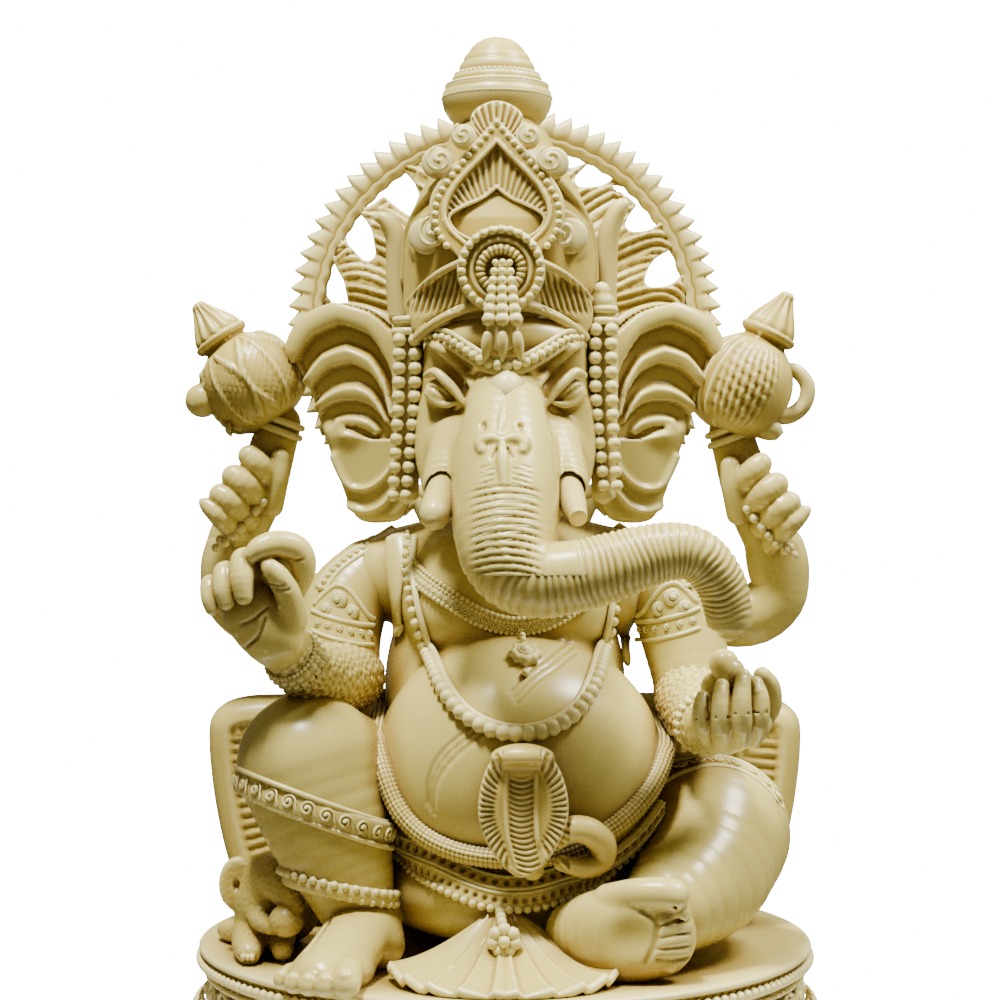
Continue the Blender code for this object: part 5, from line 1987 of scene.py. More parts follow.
@dataclass
class FrontArms(Assembly):
    """The two front arms: the right hand raised and holding a sweet, the left hand open below."""

    def build(self) -> None:
        """Make the arms, the hands and the sweets."""
        self.right_arm()
        self.left_arm()
        self.right_hand()
        self.left_hand()

    def sleeve(
        self, clay: Clay, name: str, node: str, at: Triple, extras: Sequence[Skin] = (),
        grain_push: bool = False
    ) -> None:
        """Emit an arm from its clay, with its bands, and a carved flower ground on a sleeve.

        Args:
            clay: The clay it lies on.
            name: The piece's name.
            node: The CAD node it stands for.
            at: Where its box is centred.
            extras: Surfaces added to it.
            grain_push: Whether a flower ground is carved on it.
        """
        skin = clay.skin()
        if grain_push:
            x, y, z = skin.places.T
            flower = np.sin(
                x * 1.9 + 1.2 * np.sin(z * 0.8)
            ) * np.sin(z * 1.9 + 1.2 * np.sin(y * 0.9)) * np.cos(y * 1.5)
            skin = skin.pushed(0.32 * np.clip(flower * 2.2, -1, 1))
        self.emit(name, node, joined([skin, *extras]), at)

    def hoop(
        self, centre: Triple, normal: Triple, radius: float, points: int = 96
    ) -> tuple[np.ndarray, np.ndarray]:
        """A ring round a limb and its outward directions.

        Args:
            centre: Its centre.
            normal: Direction of the limb.
            radius: Its radius.
            points: Number of points.
        Returns:
            The ring's points and outward directions.
        """
        axis = np.array(normal, float) / np.linalg.norm(normal)
        side = np.cross(axis, (0.0, 0.0, 1.0) if abs(axis[2]) < 0.9 else (0.0, 1.0, 0.0))
        side /= np.linalg.norm(side)
        other = np.cross(axis, side)
        angles = np.linspace(0, 2 * math.pi, points, endpoint=False)
        out = np.cos(angles)[:, None] * side + np.sin(angles)[:, None] * other
        return np.array(centre) + out * radius, out

    def band(
        self, centre: Triple, normal: Triple, radius: float, motifs: Sequence[tuple[Motif, float, float]],
        tape: float = 0.0
    ) -> list[Skin]:
        """Rows of motifs round a limb, each (motif, size, offset along the limb), over an optional flat tape.

        Args:
            centre: Its centre.
            normal: Direction of the limb.
            radius: Its radius.
            motifs: Rows as (motif, size, offset).
            tape: Half width of the flat tape, or none.
        Returns:
            A surface for each row.
        """
        axis = np.array(normal, float) / np.linalg.norm(normal)
        parts = []
        for motif, size, offset in motifs:
            path, out = self.hoop(tuple(np.array(centre) + axis * offset), normal, radius)
            pitch = {Motif.RIB: 1.2, Motif.SCROLL: 2.3}.get(motif, 2.1) * size
            parts.append(
                row(
                    motif, path, out, size, max(int(2 * math.pi * radius / pitch), 6), self.finish,
                    closed=True
                )
            )
        if tape:
            path, out = self.hoop(centre, normal, radius - 0.5)
            parts.append(swept(path, tape, 12, closed=True, up=out, flat=0.28))
        return parts

    def cape(self, clay: Clay, side: int) -> list[Skin]:
        """The beaded edge of the cape over a shoulder; side is -1 or 1.

        Args:
            clay: The clay it lies on.
            side: 1 for the figure's left, -1 for its right.
        Returns:
            Surfaces of the edge.
        """
        spots = [
            (side * x, z) for x,
            z in ((33.5, 159.6), (39.5, 156.0), (46.5, 151.6), (51.4, 147.4), (54.6, 142.6))
        ]
        path = smoothed(clay.front([tuple(spot) for spot in through(spots, 8)], 3.0), 6)
        out = np.broadcast_to(np.array((side * 0.45, -0.75, 0.5)), path.shape)
        across = crossed(np.gradient(path, axis=0), out)
        parts = [swept(path + across * shift, 0.75, 10, up=out) for shift in (-1.7, 1.7)]
        parts.append(swept(path - out * 0.5, 1.9, 12, up=out, flat=0.5))
        parts.append(row(Motif.BEAD, path + out * 0.5, out, 0.95, int(length_of(path) / 2.0), self.finish))
        return parts

    def armlet(self, clay: Clay, side: int) -> list[Skin]:
        """The dotted armlet and the pointed plate of scrolls that rises from it; side is -1 or 1.

        Args:
            clay: The clay it lies on.
            side: 1 for the figure's left, -1 for its right.
        Returns:
            Surfaces of the armlet.
        """

        def laid(spots: Sequence[tuple[float, float]]) -> np.ndarray:
            """The points laid on the arm."""
            return smoothed(clay.front([(side * x, z) for x, z in through(spots, 6)], -2.0), 3)

        out = np.array((side * 0.3, -0.95, 0.1))
        parts = []
        for low, thick in ((0.0, 0.8), (-5.6, 0.7)):
            line = laid(
                [
                    (39, 131.8 + low), (43, 132.3 + low), (48, 133.4 + low), (53.5, 134.9 + low),
                    (57, 136.2 + low)
                ]
            )
            parts.append(swept(line, thick, 10, up=out))
        beads = laid([(40, 129.4), (44, 130.0), (49, 131.0), (55, 132.6)])
        parts.append(row(Motif.ROSETTE, beads + out * 0.2, out, 1.1, 6, self.finish))
        edge = laid(
            [
                (39.0, 133.6), (40.8, 135.0), (43.4, 138.8), (46.4, 142.4), (49.8, 143.6), (52.8, 141.8),
                (56.4, 138.0)
            ]
        )
        parts.append(swept(edge, 0.85, 10, up=out))
        for x, z, size in ((49.2, 139.4, 2.5), (45.4, 136.0, 2.1), (53.0, 136.6, 2.0)):
            spot = laid([(x, z), (x + 0.8, z)])[:2] + out * 0.2
            parts.append(row(Motif.CURL, spot, out, size, 1, self.finish))
            parts.append(row(Motif.DISC, spot - out * 0.3, out, size * 1.05, 1, self.finish))
        return parts

    def right_arm(self) -> None:
        """The bent right arm, whose forearm wears a flowered sleeve."""
        clay = Clay((-66, -32, 100), (-26, 22, 166), 0.7)
        clay.limb(
            [(-41, 2.5, 145.5, 11.6), (-47.5, -1, 138, 12.6), (-49.5, -6, 128, 12.4), (-48, -12, 118, 11.0)],
            3
        )
        skins = [*self.armlet(clay, -1), *self.cape(clay, -1)]
        self.sleeve(clay, "right_upper_arm_casting", "right_upper_arm", (-46.6, -5, 132.9), skins)
        clay = Clay((-72, -62, 98), (-34, 2, 142), 0.6)
        clay.limb(
            [
                (-46, -12, 116, 10.6), (-50, -27, 116.4, 10.2), (-55.4, -40, 119.6, 8.8),
                (-59.6, -48, 125, 7.4)
            ],
            2
        )
        rows = [
            (Motif.BEAD, 1.15, 1.1), (Motif.BEAD, 1.15, -1.3), (Motif.BEAD, 0.6, 3.0),
            (Motif.BEAD, 0.6, -3.2)
        ]
        skins = self.band((-58.6, -46.4, 123.4), (-0.42, -0.72, 0.55), 7.9, rows, 1.8)
        self.sleeve(clay, "right_forearm_casting", "right_forearm", (-51.3, -31.3, 119.6), skins, True)

    def left_arm(self) -> None:
        """The left arm, which runs forward at the figure's side."""
        clay = Clay((30, -28, 96), (72, 22, 166), 0.7)
        clay.limb(
            [(41, 2.5, 145.5, 11.6), (49.5, -1, 138, 12.6), (53.6, -4.5, 125, 12.4), (55.2, -9, 114, 11.2)],
            3
        )
        skins = [*self.armlet(clay, 1), *self.cape(clay, 1)]
        self.sleeve(clay, "left_upper_arm_casting", "left_upper_arm", (48.4, -2.5, 131.3), skins)
        clay = Clay((38, -56, 90), (72, 6, 126), 0.6)
        clay.limb(
            [
                (54.5, -8, 112, 10.6), (54.6, -20, 108.4, 10.2), (55.4, -33, 105.6, 9.0),
                (57.6, -43, 104.4, 7.8)
            ],
            2
        )
        skins = self.band(
            (56.6, -39, 105), (0.2, -0.97, -0.1), 8.3, [(Motif.BEAD, 1.1, 1.0), (Motif.BEAD, 1.1, -1.3)],
            1.8
        )
        self.sleeve(clay, "left_forearm_casting", "left_forearm", (54.6, -24.4, 107.9), skins, True)

    def right_hand(self) -> None:
        """The raised right hand, with the sweet held between thumb and forefinger."""
        clay = Clay((-90, -76, 112), (-44, -38, 168), 0.45)
        clay.limb(
            [
                (-60.5, -50, 126.5, 7.2), (-64.5, -54, 131.5, 8.8), (-68.5, -55, 137.5, 9.4),
                (-70, -54.5, 142, 8.0)
            ],
            2, 0.72
        )
        clay.ball((-61.5, -56.5, 131.5), (5.6, 5.0, 7.5), 2.5, spin(y=-20))
        clay.limb(
            [
                (-58.6, -57.5, 135.5, 4.4), (-59.2, -61, 142, 3.6), (-61.6, -63.2, 147, 3.2),
                (-63.8, -64.0, 149.6, 2.6)
            ],
            1.5
        )
        clay.limb(
            [
                (-60, -54, 142.5, 4.6), (-56.4, -56.6, 149.5, 4.5), (-57.4, -58.6, 154.3, 4.2),
                (-62, -61.4, 156.0, 3.8), (-66.4, -63.6, 155, 3.2), (-68.6, -64.4, 153.2, 2.3)
            ],
            1.2
        )
        clay.limb(
            [
                (-67.5, -54, 142, 4.3), (-70.0, -57, 149.0, 4.0), (-71.2, -61, 151.4, 3.7),
                (-71.3, -64.6, 147.0, 3.3), (-70.8, -65.4, 142.2, 2.6)
            ],
            0.9
        )
        clay.limb(
            [
                (-72, -53, 140, 3.8), (-75.3, -56, 146, 3.6), (-76.6, -59.6, 148.0, 3.3),
                (-76.5, -63, 144, 2.9), (-75.8, -63.6, 140.4, 2.3)
            ],
            0.8
        )
        clay.limb(
            [
                (-75.5, -51.5, 138, 3.3), (-79.4, -54.4, 143, 3.1), (-80.8, -57.6, 144.8, 2.8),
                (-80.7, -60.4, 141.4, 2.4), (-80, -61, 138.4, 1.9)
            ],
            0.8
        )
        clay.relief([(-65.2, 150.6, 1.3), (-64.2, 148.4, 1.4)], 0.9, 0.3, depth=-61)
        for x, z in ((-60.8, 143.6), (-57.4, 151.6), (-61.8, 144.8)):
            clay.relief(
                [(x - 2.2, z + 0.5, 0.35), (x, z, 0.45), (x + 2.2, z + 0.3, 0.35)], 0.1, 0.4, carve=True,
                depth=-58
            )
        for line in (
            [(-72, 134, 0.4), (-68.4, 135.6, 0.5), (-64.6, 138.8, 0.4)],
            [(-71, 127.6, 0.4), (-67.2, 131, 0.5), (-65.2, 136, 0.4)]
        ):
            clay.relief(line, 0.1, 0.5, carve=True, depth=-54)
        self.emit("raised_right_hand", "right_hand", clay.skin(), (-67.5, -57.5, 140.3))
        sweet = Clay((-72, -68, 139), (-52, -48, 159), 0.45)
        sweet.ball((-62.5, -57.4, 149.2), (5.7, 5.2, 5.4), 0)
        self.emit("held_sweet_ball", "held_sweet", sweet.skin(), (-62.5, -58.5, 149))

    def left_hand(self) -> None:
        """The open left hand, with a heap of sweets in it."""
        clay = Clay((46, -72, 92), (84, -36, 130), 0.45)
        clay.ball((62.4, -51, 105.6), (11.4, 9.6, 6.2), 0, spin(y=-4))
        clay.limb([(57, -44, 104.6, 7.2), (61, -49, 105, 7.4)], 3)
        fingers = [
            [
                (55.2, -53, 103.4, 3.0), (53.6, -60, 106.4, 2.7), (53.0, -61.4, 111.0, 2.3),
                (53.8, -59.6, 114.4, 1.8)
            ],
            [
                (59.2, -55, 102.6, 3.2), (58.6, -62.4, 106.4, 3.0), (58.3, -63.6, 112.6, 2.6),
                (58.9, -61.4, 117.6, 2.0)
            ],
            [
                (63.8, -55, 102.6, 3.3), (63.8, -63, 107.0, 3.1), (63.9, -64.2, 114, 2.7),
                (64.7, -61.8, 120.4, 2.0)
            ],
            [
                (68.0, -53.5, 103.0, 3.2), (68.9, -60.6, 107.6, 3.0), (69.2, -61.4, 114, 2.6),
                (68.4, -59.4, 118.2, 1.9)
            ],
            [
                (70.4, -46, 106.4, 3.8), (73.2, -49, 111.2, 3.5), (73.0, -51.6, 116.4, 3.1),
                (70.8, -53.4, 119.6, 2.6)
            ],
        ]
        for stations in fingers:
            clay.limb(stations, 0.9)
        for x, z in ((53.7, 113.0), (58.8, 116.2), (64.5, 118.8), (68.5, 116.8)):
            clay.relief([(x, z + 0.7, 1.0), (x, z - 0.7, 1.1)], 0.75, 0.3, depth=-58)
        for x, z in ((53.4, 108.6), (58.5, 109.4), (63.8, 110.4), (69.0, 110.6)):
            clay.relief([(x - 2, z, 0.35), (x + 2, z, 0.35)], 0.1, 0.3, carve=True, depth=-58)
        self.emit("open_left_hand", "left_hand", clay.skin(), (64.2, -54.1, 110.7))
        heap = Clay((48, -66, 102), (74, -40, 134), 0.45)
        for centre, size in (
            ((58.6, -53, 116), 4.8), ((64.4, -52.6, 117), 4.6), ((61.6, -55.4, 120.5), 4.4),
            ((60.6, -50, 122.6), 4.2), ((61.6, -52, 111.5), 6.4)
        ):
            heap.ball(centre, (size, size, size), 0.7)
        self.emit("heap_of_sweets", "sweet_bowl", heap.skin(), (61, -52.5, 117.5))


@dataclass
class RearArms(Assembly):
    """The two raised rear arms, with four stacked knuckles at each wrist."""

    def build(self) -> None:
        """Make both arms and both hands."""
        for side in (-1, 1):
            self.arm(side)
            self.hand(side)

    def arm(self, side: int) -> None:
        """One rear arm; side is -1 or 1.

        Args:
            side: 1 for the figure's left, -1 for its right.
        """
        low, high = (-96, -34) if side < 0 else (34, 96)
        clay = Clay((low, -4, 116), (high, 28, 166), 0.7)
        run = [
            (38, 8, 143, 10.5), (58, 13, 135, 10.0), (74, 13, 132.5, 9.4), (82.6, 12, 138, 9.0),
            (84.6, 10.5, 147, 8.2), (84.0, 10, 153, 7.4)
        ]
        clay.limb(sided(side, run), 2)
        skin = clay.skin()
        name = "right" if side < 0 else "left"
        self.emit(f"rear_{name}_arm_casting", f"rear_{name}_arm", skin, (side * 59.3, 10.2, 141.1))

    def hand(self, side: int) -> None:
        """One rear hand, which holds a vessel's foot.

        Args:
            side: 1 for the figure's left, -1 for its right.
        """
        low, high = (-96, -56) if side < 0 else (56, 96)
        clay = Clay((low, -12, 140), (high, 24, 200), 0.45)
        palm = [
            (83, 10, 152, 7.6), (79.6, 9.4, 160, 8.2), (74.6, 8.6, 171, 8.2), (71.0, 7.6, 181, 7.2),
            (68.4, 7, 190, 6.6)
        ]
        clay.limb(sided(side, palm), 0, 0.8)
        fingers = [
            [(70, 2.6, 172.4, 3.8), (73.8, -2.4, 177.2, 4.0), (76.4, -2.8, 180.0, 3.4)],
            [(74, 2.4, 167.0, 4.1), (77.6, -3.4, 171.2, 4.4), (80.8, -3.8, 173.8, 3.8)],
            [(77.6, 2.4, 161.4, 3.9), (81.4, -4.0, 166.0, 4.1), (84.8, -4.2, 168.4, 3.5)],
            [
                (80.6, 2.6, 156.8, 3.4), (84.6, -4.4, 161.8, 3.4), (88.4, -4.6, 165.0, 2.4),
                (90.2, -4.6, 166.4, 1.2)
            ],
        ]
        for stations in fingers:
            clay.limb(sided(side, stations), 0.7)
        clay.limb(sided(side, [(70, 2, 165, 3.4), (68.2, 0.2, 173, 3.3), (67.6, 0.4, 179.4, 2.9)]), 1.2)
        cuff = [(83, 10, 146, 8.4), (82.4, 10, 151, 9.0), (81.6, 9.6, 155.4, 8.4)]
        clay.limb(sided(side, cuff), 1.0, 0.8)
        clay.limb([(side * 84.9, -12, 151.9, 1.5), (side * 84.9, 26, 151.9, 1.5)], 0.5, carve=True)
        parts = [clay.skin()]
        for dx, dz, size in ((0.0, 0.0, 1.5), (2.0, -2.4, 1.5)):
            run = [
                (72.4 + dx, -2.0, 166.4 + dz), (76.2 + dx, -2.6, 161.6 + dz), (80.4 + dx, -2.4, 157.4 + dz),
                (85.4 + dx * 0.6, -0.6, 155.0 + dz)
            ]
            path = through(sided(side, run), 8)
            parts.append(
                row(
                    Motif.BEAD, path, np.array((0, -1, 0)), size, int(length_of(path) / (1.85 * size)),
                    self.finish
                )
            )
        for height in (188.0, 191.0):
            centre = (side * (68.9 - (height - 188) * 0.25), 7.2, height)
            path, out = FrontArms().hoop(centre, (side * -0.35, 0, 0.94), 7.0)
            parts.append(swept(path, 1.1, 8, closed=True, up=out))
        name = "right" if side < 0 else "left"
        self.emit(f"rear_{name}_hand_casting", f"rear_{name}_hand", joined(parts), (side * 76.2, 4.7, 172))


@dataclass
class Vessels(Assembly):
    """The leafy bud and the basket-dotted pot that the rear hands hold up."""

    finish: Finish = Finish.CARVED
    profile: tuple[tuple[float, float], ...] = (
        (0, 0), (5.0, 0.2), (9.4, 1.6), (12.9, 5.0), (14.7, 9.6), (15.2, 14.0), (14.6, 18.4), (12.6, 22.6),
        (9.4, 26.0), (7.0, 27.8), (6.9, 28.6), (8.2, 29.4), (8.7, 30.4), (8.4, 31.2), (7.6, 31.6),
        (7.2, 33.2), (5.4, 36.4), (3.6, 39.2), (2.6, 41.2), (2.3, 42.4), (1.4, 43.3), (0, 43.5),
    )

    def turned(self, scale: float) -> tuple[Skin, np.ndarray, np.ndarray]:
        """The turned shape upright.

        Args:
            scale: Height as a share of the drawn height.
        Returns:
            The surface, and the height and the angle of each corner.
        """
        dense = [self.profile[0], *[tuple(p) for p in through(self.profile[1:-1], 4)], self.profile[-1]]
        skin = lathe([(r, h * scale) for r, h in dense], 160)
        return skin, skin.places[:, 2].copy(), np.arctan2(skin.places[:, 1], skin.places[:, 0])

    def stood(self, skin: Skin, base: Triple, axis: Triple) -> Skin:
        """The upright shape tilted on its axis and moved to its base."""
        turn = np.array(Vector((0, 0, 1)).rotation_difference(Vector(axis)).to_matrix())
        return Skin(skin.places @ turn.T + np.array(base), skin.quads, skin.tris)

    def build(self) -> None:
        """Make the bud and the pot."""
        axis = (-0.579, 0, 0.815)
        skin, height, angle = self.turned(1.0)
        leaf = (angle + math.pi / 2) % (2 * math.pi / 5) - math.pi / 5
        half = 0.62 * np.sin(math.pi * np.clip((height + 2) / 30, 0, 1)) ** 0.8 + 0.02
        across = np.abs(leaf) / half
        body = ease(height, 2, 4) * (1 - ease(height, 25.5, 27))
        outline = np.exp(-(((across - 1) * half * 14 / 0.8) ** 2)) * 0.9
        midrib = np.exp(-((leaf * 14 / 0.7) ** 2)) * 0.6
        veins = (across < 0.95) * 0.45 * np.sin(
            (height + np.abs(leaf) * 13) * 2 * math.pi / 2.5
        ) * ease(np.abs(leaf) * 14, 0.4, 1.0)
        cap = (height > 31.6) * 0.35 * np.cos(angle * 12) * (1 - ease(height, 40, 43))
        parts = [self.stood(skin.pushed(body * (outline + midrib + veins) + cap), (-68.3, 6, 192.2), axis)]
        knob = Clay((-100, -8, 186), (-82, 16, 210), 0.5)
        knob.ball((-91.2, 3, 198), (5.2, 5.0, 5.2), 0).ball((-86.4, 3, 201.0), (4, 4, 4), 1.5)
        knob.ball((-80.5, 0, 189.4), (3.6, 3.4, 2.8), 1.5).ball((-90, 2, 205.2), (2.2, 2.6, 2.2), 1.5)
        parts.append(knob.skin())
        self.emit("leafy_bud", "bud_vessel", joined(parts), (-78.4, 6, 208.7))
        axis = (0.453, 0, 0.892)
        skin, height, angle = self.turned(1.08)
        around = angle * 15
        turn_up = height + 0.55 * around
        dots = np.cos(turn_up * 2 * math.pi / 3.3) * np.cos((height - 1.1 * around) * 2 * math.pi / 4.4)
        body = ease(height, 3, 5) * (1 - ease(height, 25, 27.5)) * ease(-np.cos(angle - 0.1), -0.55, -0.3)
        stripe = np.exp(-(((np.abs(((angle + 2.35) * 14)) - 1.6) / 0.7) ** 2)) * 0.9
        cap = (height > 34) * 0.3 * np.cos(angle * 10) * (1 - ease(height, 43, 46))
        off = ease(np.abs((angle + 2.35) * 14), 2.2, 3.2)
        band = ease(height, 2, 3) * (1 - ease(height, 27, 28))
        parts = [
            self.stood(
                skin.pushed(body * off * 0.6 * np.clip(dots * 1.6, -1, 1) + band * stripe + cap),
                (64.8, 6, 189), axis
            )
        ]
        loop = [
            (82.4, 4.6, 206.4), (87.4, 4.6, 207.2), (91.2, 4.6, 203.0), (90.6, 4.6, 197.4),
            (86.2, 4.6, 193.6), (80.4, 4.6, 193.6)
        ]
        path = through(loop, 8)
        parts.append(swept(path, np.linspace(2.1, 2.7, len(path)), 16, up=(0, 1, 0)))
        spout = through([(76, 4, 191.4, 4.2), (79.6, 3.6, 189.4, 3.6), (82.6, 3.4, 188.6, 2.6)], 6)
        parts.append(swept(spout[:, :3], spout[:, 3], 16, up=(0, 1, 0)))
        self.emit("basket_dotted_pot", "water_pot", joined(parts), (74.7, 6, 209.1))


@dataclass
class Legs(Assembly):
    """The raised right leg, the folded left leg, and both feet."""

    def build(self) -> None:
        """Make both legs, both feet, the knee band and the anklet."""
        clay = Clay((-80, -68, 40), (4, 28, 116), 0.75)
        clay.limb([(-20, 8, 64, 20), (-38, -12, 79, 20), (-55, -37, 93.4, 19.6)], 0)
        clay.limb(
            [(-56, -40, 93.6, 19.4), (-50.6, -42, 78, 17.4), (-45.0, -43, 64, 13.6), (-42, -43, 54, 10.4)],
            3
        )
        self.emit("right_leg_casting", "right_leg", clay.skin(), (-38.4, -17.1, 77.3), 60_000)
        self.knee_band(clay)
        self.anklet(clay)
        clay = Clay((0, -70, 38), (86, 28, 98), 0.75)
        clay.limb([(20, 6, 63, 19.5), (42, -6, 71, 21.6), (60, -16, 71, 22.4)], 0)
        clay.limb([(60, -18, 70, 22.2), (56, -34, 62, 19), (46, -50, 56, 14), (38, -57, 52, 10.5)], 4)
        skin = clay.skin()
        run = []
        for turn in np.linspace(-70, 60, 27):
            angle = math.radians(turn)
            run.append((math.sin(angle), -0.2, math.cos(angle)))
        out = np.array(run) / np.linalg.norm(run, axis=1, keepdims=True)
        starts = np.broadcast_to(np.array((60.0, -19.0, 71.0)), out.shape) + out * 2
        parts = [skin]
        for shift, motif, size in ((-3.6, None, 0.8), (3.6, None, 0.8), (0.0, Motif.SCROLL, 2.1)):
            laid = smoothed(clay.reach(starts + np.array((shift * 0.4, -shift, 0)), out, 40), 3)
            if motif:
                parts.append(row(motif, laid, out, size, int(length_of(laid) / 4.6), self.finish))
            else:
                parts.append(swept(laid, size, 8, up=out))
        self.emit("left_leg_casting", "left_leg", joined(parts), (42.7, -21.6, 68), 70_000)
        self.right_foot()
        self.left_foot()

    def wrapped(
        self, clay: Clay, centre: Triple, normal: Triple, offset: float = 0.0
    ) -> tuple[np.ndarray, np.ndarray]:
        """A closed path round a limb that lies on its clay.

        Args:
            clay: The clay it lies on.
            centre: Its centre.
            normal: Direction of the limb.
            offset: Distance along the limb.
        Returns:
            The ring's points and outward directions.
        """
        _, out = FrontArms().hoop(centre, normal, 1.0, 144)
        axis = np.array(normal, float) / np.linalg.norm(normal)
        laid = clay.reach(np.broadcast_to(np.array(centre) + axis * offset, out.shape), out, 34.0)
        for _ in range(4):
            laid = (np.roll(laid, 1, 0) + 2 * laid + np.roll(laid, -1, 0)) / 4
        return laid, out

    def knee_band(self, clay: Clay) -> None:
        """The band of scrolls below the right knee.

        Args:
            clay: The clay it lies on.
        """
        centre, normal = (-51.2, -40.5, 80.6), (0.34, 0.1, 0.93)
        parts = []
        laid, out = self.wrapped(clay, centre, normal)
        parts.append(swept(laid, 3.4, 16, closed=True, up=out, flat=0.3))
        for offset, size in ((-3.2, 0.75), (3.2, 0.75)):
            edge, edge_out = self.wrapped(clay, centre, normal, offset)
            parts.append(swept(edge + edge_out * 0.4, size, 10, closed=True, up=edge_out))
        parts.append(
            row(
                Motif.SCROLL, laid + out * 0.9, out, 2.3, int(length_of(laid, True) / 5.2), Finish.CARVED,
                closed=True
            )
        )
        finished("right_knee_scroll_band", ["right_knee_band"], joined(parts), Finish.CARVED)

    def anklet(self, clay: Clay) -> None:
        """The beaded anklet.

        Args:
            clay: The clay it lies on.
        """
        centre, normal = (-42.2, -43, 58.6), (0.2, 0.1, 0.97)
        laid, out = self.wrapped(clay, centre, normal)
        parts = [swept(laid, 2.5, 16, closed=True, up=out, flat=0.8)]
        for offset in (-1.4, 1.4):
            edge, edge_out = self.wrapped(clay, centre, normal, offset)
            parts.append(
                row(
                    Motif.BEAD, edge + edge_out * 1.1, edge_out, 1.25, int(length_of(edge, True) / 2.9),
                    Finish.CARVED, closed=True
                )
            )
        finished("beaded_anklet", ["right_anklet"], joined(parts), Finish.CARVED)

    def right_foot(self) -> None:
        """The planted right foot, with five toes."""
        clay = Clay((-66, -92, 33), (-26, -28, 62), 0.5)
        clay.limb(
            [(-39, -40, 51, 10.2), (-41, -52, 47.6, 10), (-45.6, -66, 43.0, 9.6), (-48.6, -74, 41.2, 8.2)],
            0, 0.82, (0, 0, 1)
        )
        clay.ball((-47, -68, 41), (11, 12, 5.6), 3)
        clay.ball((-37, -46, 44), (9, 11, 7.5), 3)
        toes = [
            (
                (-57.6, -70.0, 41.2), (-59.4, -74.6, 40.4), 2.7
            ), ((-54.2, -73.4, 41.4), (-55.8, -79.0, 40.4), 3.0),
            (
                (-50.4, -75.6, 41.6), (-51.6, -81.8, 40.6), 3.2
            ), ((-46.2, -77.0, 41.8), (-47.0, -83.6, 40.8), 3.4),
            ((-41.6, -76.6, 42.4), (-41.8, -84.4, 41.4), 4.1),
        ]
        for knuckle, tip, size in toes:
            clay.limb([(*knuckle, size), (*tip, size * 0.94)], 0.8)
            nail = (tip[0], tip[1] - size * 0.1, tip[2] + size * 0.62)
            clay.ball(nail, (size * 0.58, size * 0.72, size * 0.42), 0.3)
        for x, reach in ((-52.4, -70), (-48.4, -71), (-44.2, -71)):
            clay.limb([(x + 4.5, -56, 51.8, 0.8), (x, reach, 47.6, 0.9)], 1.4, carve=True)
        skin = clay.skin()
        skin.places[:, 2] = np.maximum(skin.places[:, 2], PEDESTAL_TOP)
        self.emit("right_foot_casting", "right_foot", skin, (-45.4, -58.2, 45.5))

    def left_foot(self) -> None:
        """The upturned left sole, whose toes stack at its end."""
        clay = Clay((10, -86, 33), (64, -40, 76), 0.5)
        clay.limb(
            [(19.5, -58, 50, 8.4), (27, -64, 51.0, 11.6), (35, -66.6, 51.0, 12.6), (40.5, -67.2, 50.4, 11.0)],
            0, 0.6
        )
        clay.ball((31, -64, 45), (12, 7.5, 7.0), 3)
        clay.limb(
            [
                (28, -66, 60.6, 3.8), (35, -69.4, 62.2, 4.2), (42.0, -71.0, 62.6, 4.4),
                (45.0, -71.2, 62.2, 4.3)
            ],
            1.2
        )
        toes = [(48.0, 57.3, 2.5), (47.6, 53.6, 2.3), (46.8, 50.2, 2.2), (46.0, 46.8, 2.1), (44.6, 43.4, 2.1)]
        for x, z, size in toes:
            clay.limb([(x - 7, -68.6, z + 0.3, size * 0.9), (x - 0.6, -70.2, z, size)], 0.5)
        clay.ball((33, -76.5, 51.5), (9.0, 4.6, 7.0), 2.5, carve=True)
        for low, high in ((59.4, 57.0), (55.4, 54.0), (51.9, 51.0), (48.4, 48.2), (45.0, 45.4)):
            clay.relief(
                [(40.6, high, 0.35), (45.0, low, 0.55), (49.5, low, 0.6)], -0.1, 0.5, carve=True, depth=-62
            )
        clay.relief(
            [(36.5, 58.2, 0.5), (40.2, 55.5, 0.6), (39.8, 50, 0.6), (37.6, 44.6, 0.5)], -0.1, 1.2,
            carve=True, depth=-62
        )
        self.emit("left_foot_casting", "left_foot", clay.skin(), (35.6, -66.2, 52.3))


